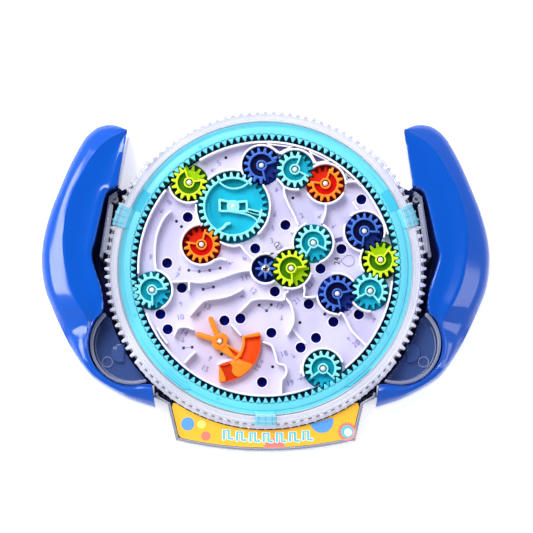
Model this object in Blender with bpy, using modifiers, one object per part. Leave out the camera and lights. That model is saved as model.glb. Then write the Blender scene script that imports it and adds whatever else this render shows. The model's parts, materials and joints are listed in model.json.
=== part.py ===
"""Hand-held gear maze ball puzzle.

The toy lies on its back: X runs from grip to grip, Y from the label to the top, Z out of the window.
The origin is on the drum's axis, at the flat back of the case. Units are metres.
"""
import math

import bmesh
import bpy
from mathutils import Matrix

MM = 0.001

# Heights above the flat back.
BACK_T = 2.4 * MM
CASE_TOP = 9.3 * MM
DISC_Z = (6.0 * MM, 8.0 * MM)
FLANGE_Z = (13.6 * MM, 15.6 * MM)
PLATE_Z = (14.0 * MM, 15.5 * MM)
RING_GEAR_Z = (15.9 * MM, 23.1 * MM)
THUMB_RING_Z = (9.6 * MM, 21.6 * MM)
TAB_Z = (21.9 * MM, 23.1 * MM)
GEAR_Z = (16.0 * MM, 22.5 * MM)
GEAR_FLOOR_Z = 17.6 * MM
WALL_TOP = 23.0 * MM
POST_TOP = 23.7 * MM
WINDOW_Z = (24.0 * MM, 26.0 * MM)
WING_Z = (23.4 * MM, 25.4 * MM)
LABEL_TOP = 25.0 * MM
WELL_TOP = 26.0 * MM
HANDLE_SPLIT = 18.0 * MM
HANDLE_TOP = 36.0 * MM
GAP = 0.3 * MM

# Drum, case and gears.
MODULE = 1.2 * MM
CASE_R = 86.0 * MM
THUMB_TIP_R = 88.0 * MM
THUMB_ROOT_R = 86.4 * MM
THUMB_INNER_R = 80.7 * MM
RING_OUTER_R = 80.0 * MM
RING_TIP_R = 70.7 * MM
RING_ROOT_R = 73.6 * MM
RING_TEETH = 120
RING_MESH_R = 63.0 * MM
PLATE_R = 70.0 * MM
WALL_T = 1.1 * MM
POCKET_R = 10.6 * MM
BIG_POCKET_R = 19.7 * MM
POST_R = 1.5 * MM
BORE_R = 2.0 * MM
HOLE_R = 2.8 * MM
BALL_R = 2.0 * MM
SHELL_T = 2.2 * MM
CLEAR_T = 1.6 * MM

NAVY = (0.012, 0.035, 0.16)
CYAN = (0.21, 0.77, 0.91)
TEAL = (0.30, 0.90, 0.93)
LIME = (0.70, 0.90, 0.03)
ORANGE = (1.0, 0.30, 0.02)
BLUE = (0.01, 0.13, 0.72)
WHITE = (0.78, 0.76, 0.90)
CLEAR = (0.80, 0.83, 0.92)
YELLOW = (1.0, 0.58, 0.08)
STEEL = (0.62, 0.62, 0.65)

# name, driver, centre distance, direction from the driver, teeth, ball notch (start, end), colour
GEARS = (
    ("gear_lime_upper_left", "ring", RING_MESH_R, 131.5, 15, (11, 107), LIME),
    ("gear_labyrinth", "gear_lime_upper_left", 27.4 * MM, -28.8, 30, (20, 55), TEAL),
    ("gear_orange_left", "gear_labyrinth", 27.0 * MM, -129.6, 15, (75, 172), ORANGE),
    ("gear_navy_top", "gear_labyrinth", 27.4 * MM, 55.5, 15, (-76, 17), NAVY),
    ("gear_cyan_top", "gear_navy_top", 18.4 * MM, -6.8, 15, (-27, 67), TEAL),
    ("gear_orange_upper_right", "gear_cyan_top", 18.4 * MM, -24.9, 15, (72, 174), ORANGE),
    ("gear_lime_right", "ring", RING_MESH_R, 4.4, 15, (51, 147), LIME),
    ("gear_navy_right", "gear_lime_right", 18.0 * MM, 119.4, 15, (-98, -3), NAVY),
    ("gear_cyan_right", "gear_lime_right", 18.0 * MM, -108.5, 15, (208, 309), TEAL),
    ("gear_navy_lower_right", "gear_cyan_right", 18.0 * MM, 184.8, 15, (-79, 13), NAVY),
    ("gear_cyan_left", "ring", RING_MESH_R, 190.7, 15, (-88, 7), TEAL),
    ("gear_cyan_bottom", "ring", RING_MESH_R, -60.2, 15, (216, 319), TEAL),
    ("gear_lime_centre", "centre_pinion", 14.0 * MM, 0.8, 15, (-86, 7), LIME),
    ("gear_cyan_centre", "gear_lime_centre", 18.4 * MM, 49.1, 15, (240, 333), TEAL),
)
PINION_TEETH = 8

BALL_HOLES = (
    (-42.5, 28.7), (-53.8, 3.5), (-45.7, -10.1), (-57.4, -24.5), (-53.4, -32.8), (-22.4, -28.0),
    (-13.7, -26.9), (3.2, -34.7), (5.1, -12.1), (-1.9, -61.7), (19.2, -42.8), (27.6, -37.5),
    (37.1, -28.7), (51.0, -24.7), (23.6, -19.0), (30.1, 0.4), (41.5, 11.2), (52.5, 38.4),
    (10.9, 24.4), (-5.6, 11.5),
)

# Free-standing maze walls as centre lines, in millimetres.
TRACK_WALLS = (
    ((-52.1, 31.4), (-57.5, 22.0), (-60.3, 7.4), (-58.7, 1.5)),
    ((-51.0, -6.6), (-45.7, -6.3), (-33.0, -7.0), (-18.0, -3.4), (-11.0, -1.4)),
    ((-22.6, 12.8), (-13.5, 12.3), (-9.3, 7.6)),
    ((-26.0, 5.1), (-21.5, 4.6)),
    ((-50.2, -16.0), (-49.6, -20.6), (-50.2, -26.2)),
    ((-45.8, -38.7), (-41.0, -34.0), (-41.5, -28.0)),
    ((-26.6, -51.5), (-27.0, -62.5)),
    ((-13.0, -20.0), (-4.0, -15.5), (0.0, -10.5)),
    ((5.0, -20.5), (14.5, -24.5), (20.5, -31.5)),
    ((12.0, -55.5), (15.0, -46.5), (10.0, -38.5)),
    ((31.0, -28.5), (38.5, -35.0), (47.0, -38.5)),
    ((22.0, 30.5), (30.5, 28.5), (38.0, 22.5)),
    ((45.5, 46.0), (42.0, 38.0), (46.5, 32.5)),
    ((15.2, 20.0), (17.0, 26.0), (13.5, 32.5)),
    ((3.8, 38.5), (10.0, 42.5)),
)

LEVER_PIVOT = (-24.9 * MM, -39.7 * MM)
BALL_START = (6.7 * MM, 13.2 * MM)

WELL_CENTRE = (-73.1 * MM, -41.2 * MM)
WELL_R = 22.4 * MM
WELL_ANGLES = (131.5, 291.0)

HANDLE_SCREW = (-108.4 * MM, -0.3 * MM)
WING_SCREW = (-82.2 * MM, 37.8 * MM)
LABEL_SCREW = (-47.2 * MM, -87.0 * MM)


# ---------------------------------------------------------------- shapes

def arc(centre, radius, start, end, steps):
    """Points on an arc, both ends included, angles in degrees."""
    turns = [math.radians(start + (end - start) * i / steps) for i in range(steps + 1)]
    return [(centre[0] + radius * math.cos(t), centre[1] + radius * math.sin(t)) for t in turns]


def circle(centre, radius, sides):
    return arc(centre, radius, 0, 360, sides)[:-1]


def mirrored(points):
    """The same points on the other side of the YZ plane, in the same turning sense."""
    return [(-x, y) for x, y in reversed(points)]


def both_sides(half):
    """A closed outline from its left half, which runs from the top to the bottom."""
    return half + mirrored(half)


def polar(centre, distance, degrees):
    turn = math.radians(degrees)
    return (centre[0] + distance * math.cos(turn), centre[1] + distance * math.sin(turn))


def strip(points, width):
    """Outline of a wall of even width along a line of points."""
    left, right = [], []
    last = len(points) - 1
    for i, (x, y) in enumerate(points):
        before = points[max(i - 1, 0)]
        after = points[min(i + 1, last)]
        dx, dy = after[0] - before[0], after[1] - before[1]
        length = math.hypot(dx, dy)
        nx, ny = -dy / length * width / 2, dx / length * width / 2
        left.append((x + nx, y + ny))
        right.append((x - nx, y - ny))
    return left + right[::-1]


def toothed(teeth, tip_r, root_r, phase, tip_share=0.24, root_share=0.30):
    """Outline of a gear whose first tooth is centred at the angle phase, in radians."""
    pitch = 2 * math.pi / teeth
    points = []
    for i in range(teeth):
        middle = phase + i * pitch
        for radius, offset in ((root_r, -0.5 + root_share / 2), (tip_r, -tip_share / 2),
                               (tip_r, tip_share / 2), (root_r, 0.5 - root_share / 2)):
            turn = middle + offset * pitch
            points.append((radius * math.cos(turn), radius * math.sin(turn)))
    return points


# ---------------------------------------------------------------- objects

def clear_scene():
    for obj in list(bpy.data.objects):
        bpy.data.objects.remove(obj, do_unlink=True)


def new_collection(name):
    collection = bpy.data.collections.new(name)
    bpy.context.scene.collection.children.link(collection)
    return collection


def plastic(name, colour, roughness=0.25, metallic=0.0, alpha=1.0):
    material = bpy.data.materials.new(name)
    material.use_nodes = True
    shader = material.node_tree.nodes["Principled BSDF"]
    shader.inputs["Base Color"].default_value = (*colour, 1.0)
    shader.inputs["Roughness"].default_value = roughness
    shader.inputs["Metallic"].default_value = metallic
    shader.inputs["Alpha"].default_value = alpha
    return material


def add_object(name, mesh, where=(0, 0)):
    obj = bpy.data.objects.new(name, mesh)
    PUZZLE.objects.link(obj)
    obj.location = (where[0], where[1], 0)
    return obj


def outline_mesh(name, loops, low, high):
    """A closed prism between two heights, from a flat curve and its holes."""
    curve = bpy.data.curves.new(name, "CURVE")
    curve.dimensions = "2D"
    curve.fill_mode = "BOTH"
    curve.extrude = (high - low) / 2
    for loop in loops:
        spline = curve.splines.new("POLY")
        spline.points.add(len(loop) - 1)
        for point, (x, y) in zip(spline.points, loop):
            point.co = (x, y, 0, 1)
        spline.use_cyclic_u = True
    holder = bpy.data.objects.new(name + "_outline", curve)
    bpy.context.scene.collection.objects.link(holder)
    bpy.context.view_layer.update()
    mesh = bpy.data.meshes.new_from_object(holder.evaluated_get(bpy.context.evaluated_depsgraph_get()))
    bpy.data.objects.remove(holder, do_unlink=True)
    bpy.data.curves.remove(curve)
    mesh.transform(Matrix.Translation((0, 0, (low + high) / 2)))
    shape = bmesh.new()
    shape.from_mesh(mesh)
    bmesh.ops.remove_doubles(shape, verts=shape.verts, dist=0.00001)
    bmesh.ops.recalc_face_normals(shape, faces=shape.faces)
    shape.to_mesh(mesh)
    shape.free()
    mesh.name = name
    return mesh


def prism(name, loops, low, high, where=(0, 0)):
    return add_object(name, outline_mesh(name, loops, low, high), where)


def prism_group(name, outlines, low, high):
    """Several separate prisms in one object."""
    shape = bmesh.new()
    for outline in outlines:
        piece = outline_mesh(name, [outline], low, high)
        shape.from_mesh(piece)
        bpy.data.meshes.remove(piece)
    mesh = bpy.data.meshes.new(name)
    shape.to_mesh(mesh)
    shape.free()
    return add_object(name, mesh)


def pillars(name, places, low, high, sides=12):
    """Upright cylinders, each place being (x, y, radius)."""
    shape = bmesh.new()
    for x, y, radius in places:
        centre = Matrix.Translation((x, y, (low + high) / 2))
        bmesh.ops.create_cone(shape, cap_ends=True, segments=sides, radius1=radius, radius2=radius,
                              depth=high - low, matrix=centre)
    mesh = bpy.data.meshes.new(name)
    shape.to_mesh(mesh)
    shape.free()
    return add_object(name, mesh)


def turned(name, profile, steps=72, where=(0, 0)):
    """A solid of revolution from a profile of (radius, height) points."""
    mesh = bpy.data.meshes.new(name)
    points = [(radius, 0, height) for radius, height in profile]
    mesh.from_pydata(points, [(i, i + 1) for i in range(len(points) - 1)], [])
    obj = add_object(name, mesh, where)
    screw = obj.modifiers.new("turn", "SCREW")
    screw.steps = steps
    screw.render_steps = steps
    screw.use_merge_vertices = True
    screw.merge_threshold = 0.00002
    return obj


def shell(name, outline, low, high, thickness, open_top, where=(0, 0)):
    """A tray or a cap: an open prism whose walls are thickened inwards."""
    obj = prism(name, [outline], low, high, where)
    shape = bmesh.new()
    shape.from_mesh(obj.data)
    open_z = high if open_top else low
    lid = [f for f in shape.faces if all(abs(v.co.z - open_z) < 0.00001 for v in f.verts)]
    bmesh.ops.delete(shape, geom=lid, context="FACES_ONLY")
    closed = [f for f in shape.faces if abs(f.normal.z) > 0.9]
    bmesh.ops.dissolve_faces(shape, faces=closed)
    shape.to_mesh(obj.data)
    shape.free()
    solid = obj.modifiers.new("walls", "SOLIDIFY")
    solid.thickness = thickness
    solid.offset = -1
    solid.use_even_offset = True
    return obj


def as_tool(obj):
    obj.hide_render = True
    obj.display_type = "WIRE"
    PUZZLE.objects.unlink(obj)
    CUTTERS.objects.link(obj)
    return obj


def combine(obj, tool, operation, use_self=False):
    boolean = obj.modifiers.new(tool.name, "BOOLEAN")
    boolean.operation = operation
    boolean.object = as_tool(tool)
    boolean.use_self = use_self
    return obj


def cut(obj, tool):
    return combine(obj, tool, "DIFFERENCE")


def join(obj, tool, use_self=False):
    return combine(obj, tool, "UNION", use_self)


# ---------------------------------------------------------------- gear train

def mesh_phase(driver_phase, driver_teeth, teeth, direction, inside):
    """Angle of a tooth that puts a gear in mesh with its driver."""
    pitch = 2 * math.pi / teeth
    part = ((direction - driver_phase) * driver_teeth / (2 * math.pi)) % 1
    if inside:
        return direction - part * pitch
    return direction + math.pi - (0.5 - part) * pitch


def gear_train():
    """Centre and tooth phase of every gear, worked out from its driver."""
    train = {
        "ring": ((0, 0), math.radians(1.5), RING_TEETH),
        "centre_pinion": ((0, 0), 0.0, PINION_TEETH),
    }
    for name, driver, distance, degrees, teeth, _notch, _colour in GEARS:
        centre, phase, driver_teeth = train[driver]
        direction = math.radians(degrees)
        own_phase = mesh_phase(phase, driver_teeth, teeth, direction, driver == "ring")
        train[name] = (polar(centre, distance, degrees), own_phase, teeth)
    return train


def make_gear(name, centre, phase, teeth, notch, material):
    pitch_r = MODULE * teeth / 2
    outline = toothed(teeth, pitch_r + 0.92 * MM, pitch_r - 1.5 * MM, phase)
    gear = prism(name, [outline, circle((0, 0), BORE_R, 10)], *GEAR_Z, where=centre)
    inner_r = 3.4 * MM if teeth == 15 else 11.0 * MM
    sector = [polar((0, 0), inner_r, notch[1]), polar((0, 0), inner_r, notch[0])]
    sector += arc((0, 0), pitch_r + 3 * MM, notch[0], notch[1], 4)
    cutter = prism(name + "_notch", [sector], GEAR_FLOOR_Z, GEAR_Z[1] + MM, where=centre)
    cut(gear, cutter)
    gear.data.materials.append(material)
    return gear


def make_gears(train, paints):
    for name, _driver, _distance, _degrees, teeth, notch, colour in GEARS:
        centre, phase, _teeth = train[name]
        make_gear(name, centre, phase, teeth, notch, paints[colour])


# ---------------------------------------------------------------- fixed case

def case_outline(inset=0.0):
    """Left half of the rear case, from the top round to the bottom."""
    half = arc((0, 0), CASE_R, 91.5, 147, 7)
    half += [(-80.0 * MM, 43.4 * MM), (-85.9 * MM, 40.0 * MM), (-89.2 * MM, 28.4 * MM),
             (-92.8 * MM, 11.8 * MM), (-94.0 * MM, 7.5 * MM), (-91.8 * MM, -1.8 * MM),
             (-88.2 * MM, -12.0 * MM)]
    half += arc(WELL_CENTRE, WELL_R, 128, 296, 12)
    half += [(-60.9 * MM, -63.0 * MM), (-60.8 * MM, -69.3 * MM), (-53.7 * MM, -72.9 * MM), (-49.1 * MM, -93.0 * MM)]
    half += arc((0, 107 * MM), 206.2 * MM, -103.5, -91, 3)
    return half


def make_rear_case(paint):
    case = shell("rear_case", both_sides(case_outline()), 0, CASE_TOP, SHELL_T, open_top=True)
    spindle = turned("spindle", [(0, 9.5 * MM), (2.7 * MM, 9.5 * MM), (2.7 * MM, 5.7 * MM),
                                 (6.0 * MM, 5.7 * MM), (6.0 * MM, BACK_T / 2), (0, BACK_T / 2)], 20)
    join(case, spindle)
    heads = [(side * x, y, 2.4 * MM) for x, y in (WING_SCREW, LABEL_SCREW) for side in (1, -1)]
    cut(case, pillars("screw_seats", heads, -MM, 1.5 * MM))
    shanks = [(side * x, y, 1.3 * MM) for x, y in (WING_SCREW, LABEL_SCREW) for side in (1, -1)]
    cut(case, pillars("screw_ways", shanks, MM, 4 * MM))
    case.data.materials.append(paint)


def make_front_cover(paint):
    low, high = WINDOW_Z
    cover = turned("front_cover", [
        (0, high), (79.5 * MM, high), (81.2 * MM, 28.4 * MM), (85.2 * MM, 28.4 * MM),
        (CASE_R, 27.6 * MM), (CASE_R, WING_Z[0]), (84.2 * MM, WING_Z[0]), (84.2 * MM, 26.4 * MM),
        (82.2 * MM, 26.4 * MM), (80.2 * MM, low), (0, low)], 60)
    edge = [(-79.7 * MM, 42.9 * MM), (-85.2 * MM, 39.6 * MM), (-90.4 * MM, 6.0 * MM)]
    wing = [(-71.0 * MM, 45.6 * MM)] + edge + [(-84.9 * MM, -0.6 * MM)]
    wing += arc((0, 0), 84.9 * MM, 178, 149, 4)
    wall = strip([(-81.6 * MM, 41.0 * MM), (-84.5 * MM, 38.9 * MM), (-89.5 * MM, 6.6 * MM)], CLEAR_T)
    plates = [wing, mirrored(wing)]
    join(cover, prism_group("cover_wings", plates, *WING_Z))
    walls = [wall, mirrored(wall)]
    join(cover, prism_group("cover_wing_walls", walls, CASE_TOP + GAP, WING_Z[1] - 0.5 * MM))
    bosses = [(side * WING_SCREW[0], WING_SCREW[1], 1.9 * MM) for side in (1, -1)]
    join(cover, pillars("cover_bosses", bosses, CASE_TOP + 2 * GAP, WING_Z[1] - 0.8 * MM))
    ways = [(x, y, 1.0 * MM) for x, y, _radius in bosses]
    cut(cover, pillars("cover_screw_ways", ways, CASE_TOP, 18 * MM))
    cover.data.materials.append(paint)


def pocket_arcs(train):
    """Walls round the gears, left out where a neighbour, the rim or the ball's track is."""
    pockets = [(train[row[0]][0], BIG_POCKET_R if row[4] == 30 else POCKET_R) for row in GEARS]
    pockets.append(((0, 0), 7.6 * MM))
    runs = []
    for centre, radius in pockets:
        line_r = radius + WALL_T / 2
        others = [p for p in pockets if p[0] != centre]
        run = []
        steps = 18 if radius < 15 * MM else 30
        for i in range(steps + 1):
            x, y = polar(centre, line_r, 360 * i / steps)
            near = any(math.hypot(x - c[0], y - c[1]) < r + WALL_T + 0.7 * MM for c, r in others)
            hole = any(math.hypot(x - hx * MM, y - hy * MM) < HOLE_R + WALL_T for hx, hy in BALL_HOLES)
            if near or hole or math.hypot(x, y) > PLATE_R - 2.6 * MM:
                if len(run) > 2:
                    runs.append(run)
                run = []
            else:
                run.append((x, y))
        if len(run) > 2:
            runs.append(run)
    return runs


def rim_arcs(train):
    """The plate's rim, broken where a gear reaches through it to the ring."""
    line_r = PLATE_R - WALL_T / 2
    reach = [train[row[0]][0] for row in GEARS if row[1] == "ring"]
    runs, run = [], []
    steps = 60
    for i in range(steps + 1):
        x, y = polar((0, 0), line_r, 30 + 360 * i / steps)
        if any(math.hypot(x - c[0], y - c[1]) < POCKET_R + 2 * MM for c in reach):
            if len(run) > 2:
                runs.append(run)
            run = []
        else:
            run.append((x, y))
    runs.append(run)
    return runs


def make_maze_plate(train, paint):
    holes = [circle((x * MM, y * MM), HOLE_R, 8) for x, y in BALL_HOLES]
    loops = [circle((0, 0), PLATE_R, 60), circle((0, 0), 4.6 * MM, 12)] + holes
    plate = prism("maze_plate", loops, *PLATE_Z)
    tracks = [[(x * MM, y * MM) for x, y in line] for line in TRACK_WALLS]
    lines = pocket_arcs(train) + rim_arcs(train)
    walls = [strip(line, WALL_T) for line in lines]
    walls += [strip(line, WALL_T) for line in tracks]
    low = PLATE_Z[1] - 0.5 * MM
    join(plate, prism_group("walls", walls, low, WALL_TOP), use_self=True)
    posts = [(*train[row[0]][0], POST_R) for row in GEARS] + [(*LEVER_PIVOT, POST_R)]
    join(plate, pillars("posts", posts, low, POST_TOP, sides=8))
    plate.data.materials.append(paint)


def make_label(clear, print_paint):
    half = arc((0, 0), THUMB_TIP_R + 0.7 * MM, 268, 228.5, 8)
    half += [(-60.3 * MM, -69.5 * MM), (-53.4 * MM, -73.2 * MM), (-48.7 * MM, -93.3 * MM)]
    half += arc((0, 107 * MM), 206.6 * MM, -103.5, -91, 3)
    cover = shell("label_cover", both_sides(half), CASE_TOP + GAP, LABEL_TOP, CLEAR_T, open_top=False)
    bosses = [(side * LABEL_SCREW[0], LABEL_SCREW[1], 2.6 * MM) for side in (1, -1)]
    join(cover, pillars("label_bosses", bosses, CASE_TOP + 2 * GAP, 21.5 * MM))
    cut(cover, pillars("label_screw_ways", [(x, y, MM) for x, y, _r in bosses], CASE_TOP, 18 * MM))
    cover.data.materials.append(clear)

    card_half = arc((0, 0), THUMB_TIP_R + 2.7 * MM, 268, 236, 7)
    card_half += [(-46.6 * MM, -91.4 * MM)]
    card_half += arc((0, 107 * MM), 204.4 * MM, -103.0, -91, 3)
    card = prism("label_card", [both_sides(card_half)], 22.4 * MM, 23.0 * MM)
    card.data.materials.append(print_paint)


def make_thumb_well(side_name, side, paint):
    floor = arc(WELL_CENTRE, WELL_R, *WELL_ANGLES, 14)
    floor += arc((0, 0), THUMB_TIP_R + 0.8 * MM, 223.5, 197.5, 5)
    wall = strip(arc(WELL_CENTRE, WELL_R - CLEAR_T / 2, WELL_ANGLES[0] + 1, WELL_ANGLES[1] - 1, 14), CLEAR_T)
    if side > 0:
        floor, wall = mirrored(floor), mirrored(wall)
    low = CASE_TOP + GAP
    well = prism("thumb_well_" + side_name, [floor], low, low + CLEAR_T)
    join(well, prism(side_name + "_well_wall", [wall], low + 0.4 * MM, WELL_TOP))
    well.data.materials.append(paint)


def handle_outline():
    """Outline of the left grip, from the horn's inner corner round the outside."""
    horn = [(-75.0, 75.2), (-80.5, 78.0), (-86.0, 78.9), (-92.0, 77.4), (-97.5, 72.9), (-101.2, 67.6),
            (-106.4, 57.8), (-111.9, 45.0), (-117.5, 30.8), (-121.2, 17.0), (-122.4, 4.0),
            (-120.6, -10.4), (-115.9, -22.9), (-109.3, -37.1), (-101.4, -50.8), (-93.6, -60.2),
            (-84.3, -66.2), (-74.2, -71.2), (-60.0, -75.6), (-61.5, -67.9), (-61.7, -63.8)]
    outline = [(x * MM, y * MM) for x, y in horn]
    outline += arc(WELL_CENTRE, WELL_R + 0.8 * MM, 289, 130, 10)
    lip = [(-89.0, -12.0), (-92.5, -1.8), (-94.8, 7.5), (-93.4, 12.0), (-89.9, 28.6), (-86.6, 40.7),
           (-80.5, 44.4), (-77.6, 60.0)]
    outline += [(x * MM, y * MM) for x, y in lip]
    return outline


def make_handle(side_name, side, paint):
    outline = handle_outline()
    if side > 0:
        outline = mirrored(outline)
    screw_x, screw_y = -side * HANDLE_SCREW[0], HANDLE_SCREW[1]
    back_top = HANDLE_SPLIT - GAP / 2
    front_low = HANDLE_SPLIT + GAP / 2

    front_name = side_name + "_handle_front"
    front = shell(front_name, outline, front_low, HANDLE_TOP, SHELL_T, open_top=False)
    round_edge(front, HANDLE_TOP)
    join(front, pillars(front_name + "_boss", [(screw_x, screw_y, 4 * MM)], front_low + GAP, 35 * MM))
    cut(front, pillars(front_name + "_seat", [(screw_x, screw_y, 2.5 * MM)], 32.5 * MM, 38 * MM))
    cut(front, pillars(front_name + "_way", [(screw_x, screw_y, 1.4 * MM)], 15 * MM, 33 * MM))
    front.data.materials.append(paint)

    back_name = side_name + "_handle_back"
    back = shell(back_name, outline, 0, back_top, SHELL_T, open_top=True)
    round_edge(back, 0)
    join(back, pillars(back_name + "_boss", [(screw_x, screw_y, 4 * MM)], MM, back_top - GAP))
    cut(back, pillars(back_name + "_way", [(screw_x, screw_y, 1.3 * MM)], 8 * MM, 20 * MM))
    back.data.materials.append(paint)


def round_edge(obj, height):
    """Round the outer edge at one height, before the walls get their thickness."""
    shape = bmesh.new()
    shape.from_mesh(obj.data)
    rim = [e for e in shape.edges
           if all(abs(v.co.z - height) < 0.00001 for v in e.verts) and len(e.link_faces) == 2]
    bmesh.ops.bevel(shape, geom=rim, offset=2.6 * MM, segments=1, profile=0.5, affect="EDGES",
                    clamp_overlap=True)
    shape.to_mesh(obj.data)
    shape.free()


def make_screw(name, place, head_z, tip_z, paint):
    """Pan-head screw along Z: a wide head at one end and a thin shank to the tip."""
    x, y = place
    middle = (head_z[0] + head_z[1]) / 2
    screw = pillars(name, [(x, y, 2.0 * MM)], *head_z, sides=10)
    shank = (min(middle, tip_z), max(middle, tip_z))
    join(screw, pillars(name + "_shank", [(x, y, 0.8 * MM)], *shank, sides=6))
    screw.data.materials.append(paint)


# ---------------------------------------------------------------- moving pieces

def make_thumb_ring(paint):
    teeth = []
    for i in range(RING_TEETH):
        teeth.append(polar((0, 0), THUMB_TIP_R, 360 * i / RING_TEETH))
        teeth.append(polar((0, 0), THUMB_ROOT_R, 360 * (i + 0.5) / RING_TEETH))
    ring = prism("thumb_ring", [teeth, circle((0, 0), THUMB_INNER_R, 48)], *THUMB_RING_Z)
    low, high = FLANGE_Z
    flange = [circle((0, 0), 82 * MM, 48), circle((0, 0), 75 * MM, 48)]
    join(ring, prism("thumb_ring_flange", flange, low, high))
    ring.data.materials.append(paint)


def make_ring_gear(phase, paint):
    spaces = toothed(RING_TEETH, RING_ROOT_R, RING_TIP_R, phase, 0.30, 0.24)
    ring = prism("ring_gear", [circle((0, 0), RING_OUTER_R, 48), spaces], *RING_GEAR_Z)
    tabs = []
    for middle in (160, 20, 270):
        outer = arc((0, 0), 87.2 * MM, middle - 4, middle + 4, 2)
        tabs.append(outer + arc((0, 0), 78.5 * MM, middle + 4, middle - 4, 2))
    join(ring, prism_group("ring_tabs", tabs, TAB_Z[0], TAB_Z[1] - 0.1 * MM))
    ring.data.materials.append(paint)


def make_drive_disc(paint):
    low, high = DISC_Z
    disc = turned("drive_disc", [
        (0, 16.0 * MM), (3.8 * MM, 16.0 * MM), (3.8 * MM, high), (78.0 * MM, high),
        (78.0 * MM, FLANGE_Z[0] - GAP), (80.2 * MM, FLANGE_Z[0] - GAP), (80.2 * MM, low),
        (3.2 * MM, low), (3.2 * MM, 10.0 * MM), (0, 10.0 * MM)], 36)
    disc.data.materials.append(paint)


def make_pinion(paint, steel):
    outline = toothed(PINION_TEETH, 5.8 * MM, 3.3 * MM, 0.0, 0.2, 0.35)
    pinion = prism("centre_pinion", [outline], 16.3 * MM, 22.0 * MM)
    pinion.data.materials.append(paint)
    screw = turned("pinion_screw", [(0, 23.4 * MM), (1.6 * MM, 23.3 * MM), (2.4 * MM, 22.8 * MM),
                                    (2.4 * MM, 22.3 * MM), (0, 22.3 * MM)], 16)
    screw.data.materials.append(steel)


def make_lever(paint):
    """Swinging scoop: a hub, two short fork arms, two ribs and a curved tray."""
    low, high = GEAR_Z
    inner_r, outer_r = 13.6 * MM, 22.4 * MM
    tray = arc((0, 0), outer_r, -90, 13, 9) + arc((0, 0), inner_r, 13, -90, 7)
    lever = shell("swing_lever", tray, low, high, 1.3 * MM, open_top=True, where=LEVER_PIVOT)
    origin = (0, 0)
    bars = [strip([polar(origin, 2.6 * MM, 112), polar(origin, 14.3 * MM, 112)], 3.4 * MM),
            strip([polar(origin, 2.6 * MM, 164), polar(origin, 13.2 * MM, 164)], 3.4 * MM),
            strip([polar(origin, 2.6 * MM, -85), polar(origin, 14.3 * MM, -85)], 1.5 * MM),
            strip([polar(origin, 2.6 * MM, 8), polar(origin, 14.3 * MM, 8)], 1.5 * MM)]
    arms = prism_group("lever_arms", bars, low + 0.4 * MM, high - 0.6 * MM)
    arms.location = lever.location
    hub = pillars("lever_hub", [(0, 0, 4.2 * MM)], low + 0.2 * MM, high - 0.3 * MM, sides=20)
    hub.location = lever.location
    bore = pillars("lever_bore", [(0, 0, BORE_R)], low - MM, high + MM)
    bore.location = lever.location
    join(lever, arms)
    join(lever, hub)
    cut(lever, bore)
    lever.data.materials.append(paint)


def make_ball(paint):
    shape = bmesh.new()
    bmesh.ops.create_uvsphere(shape, u_segments=12, v_segments=8, radius=BALL_R)
    mesh = bpy.data.meshes.new("steel_ball")
    shape.to_mesh(mesh)
    shape.free()
    ball = add_object("steel_ball", mesh, BALL_START)
    ball.location.z = PLATE_Z[1] + BALL_R + GAP
    mesh.materials.append(paint)


clear_scene()
PUZZLE = new_collection("maze_ball_puzzle")
CUTTERS = new_collection("cutters")


def main():
    navy = plastic("navy_plastic", NAVY)
    cyan = plastic("cyan_plastic", CYAN)
    blue = plastic("blue_plastic", BLUE, 0.12)
    white = plastic("white_plastic", WHITE, 0.35)
    clear = plastic("clear_plastic", CLEAR, 0.08, alpha=0.25)
    orange = plastic("orange_plastic", ORANGE)
    printed = plastic("printed_card", YELLOW, 0.5)
    steel = plastic("steel", STEEL, 0.2, 1.0)
    paints = {
        NAVY: plastic("gear_navy", NAVY),
        TEAL: plastic("gear_cyan", TEAL),
        LIME: plastic("gear_lime", LIME),
        ORANGE: plastic("gear_orange", ORANGE),
    }
    train = gear_train()

    make_rear_case(navy)
    make_front_cover(clear)
    make_maze_plate(train, white)
    make_label(clear, printed)
    for side_name, side in (("left", -1), ("right", 1)):
        make_thumb_well(side_name, side, clear)
        make_handle(side_name, side, blue)
        across = -side * HANDLE_SCREW[0]
        make_screw("handle_screw_" + side_name, (across, HANDLE_SCREW[1]), (32.8 * MM, 34.4 * MM),
                   10 * MM, steel)
        for where, (x, y) in (("top", WING_SCREW), ("bottom", LABEL_SCREW)):
            name = "case_screw_" + side_name + "_" + where
            make_screw(name, (-side * x, y), (0.3 * MM, 1.2 * MM), 16 * MM, steel)

    make_drive_disc(navy)
    make_thumb_ring(clear)
    make_ring_gear(train["ring"][1], cyan)
    make_pinion(paints[NAVY], steel)
    make_gears(train, paints)
    make_lever(orange)
    make_ball(steel)


main()
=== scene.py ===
"""Looks of the hand-held gear maze ball puzzle.

The toy lies on its back: X runs from grip to grip, Y from the label to the top, Z out of the window.
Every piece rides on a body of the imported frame, so it moves as the real one does.
"""
import json
import math

import bmesh
import bpy
from mathutils import Matrix, Vector


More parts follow.
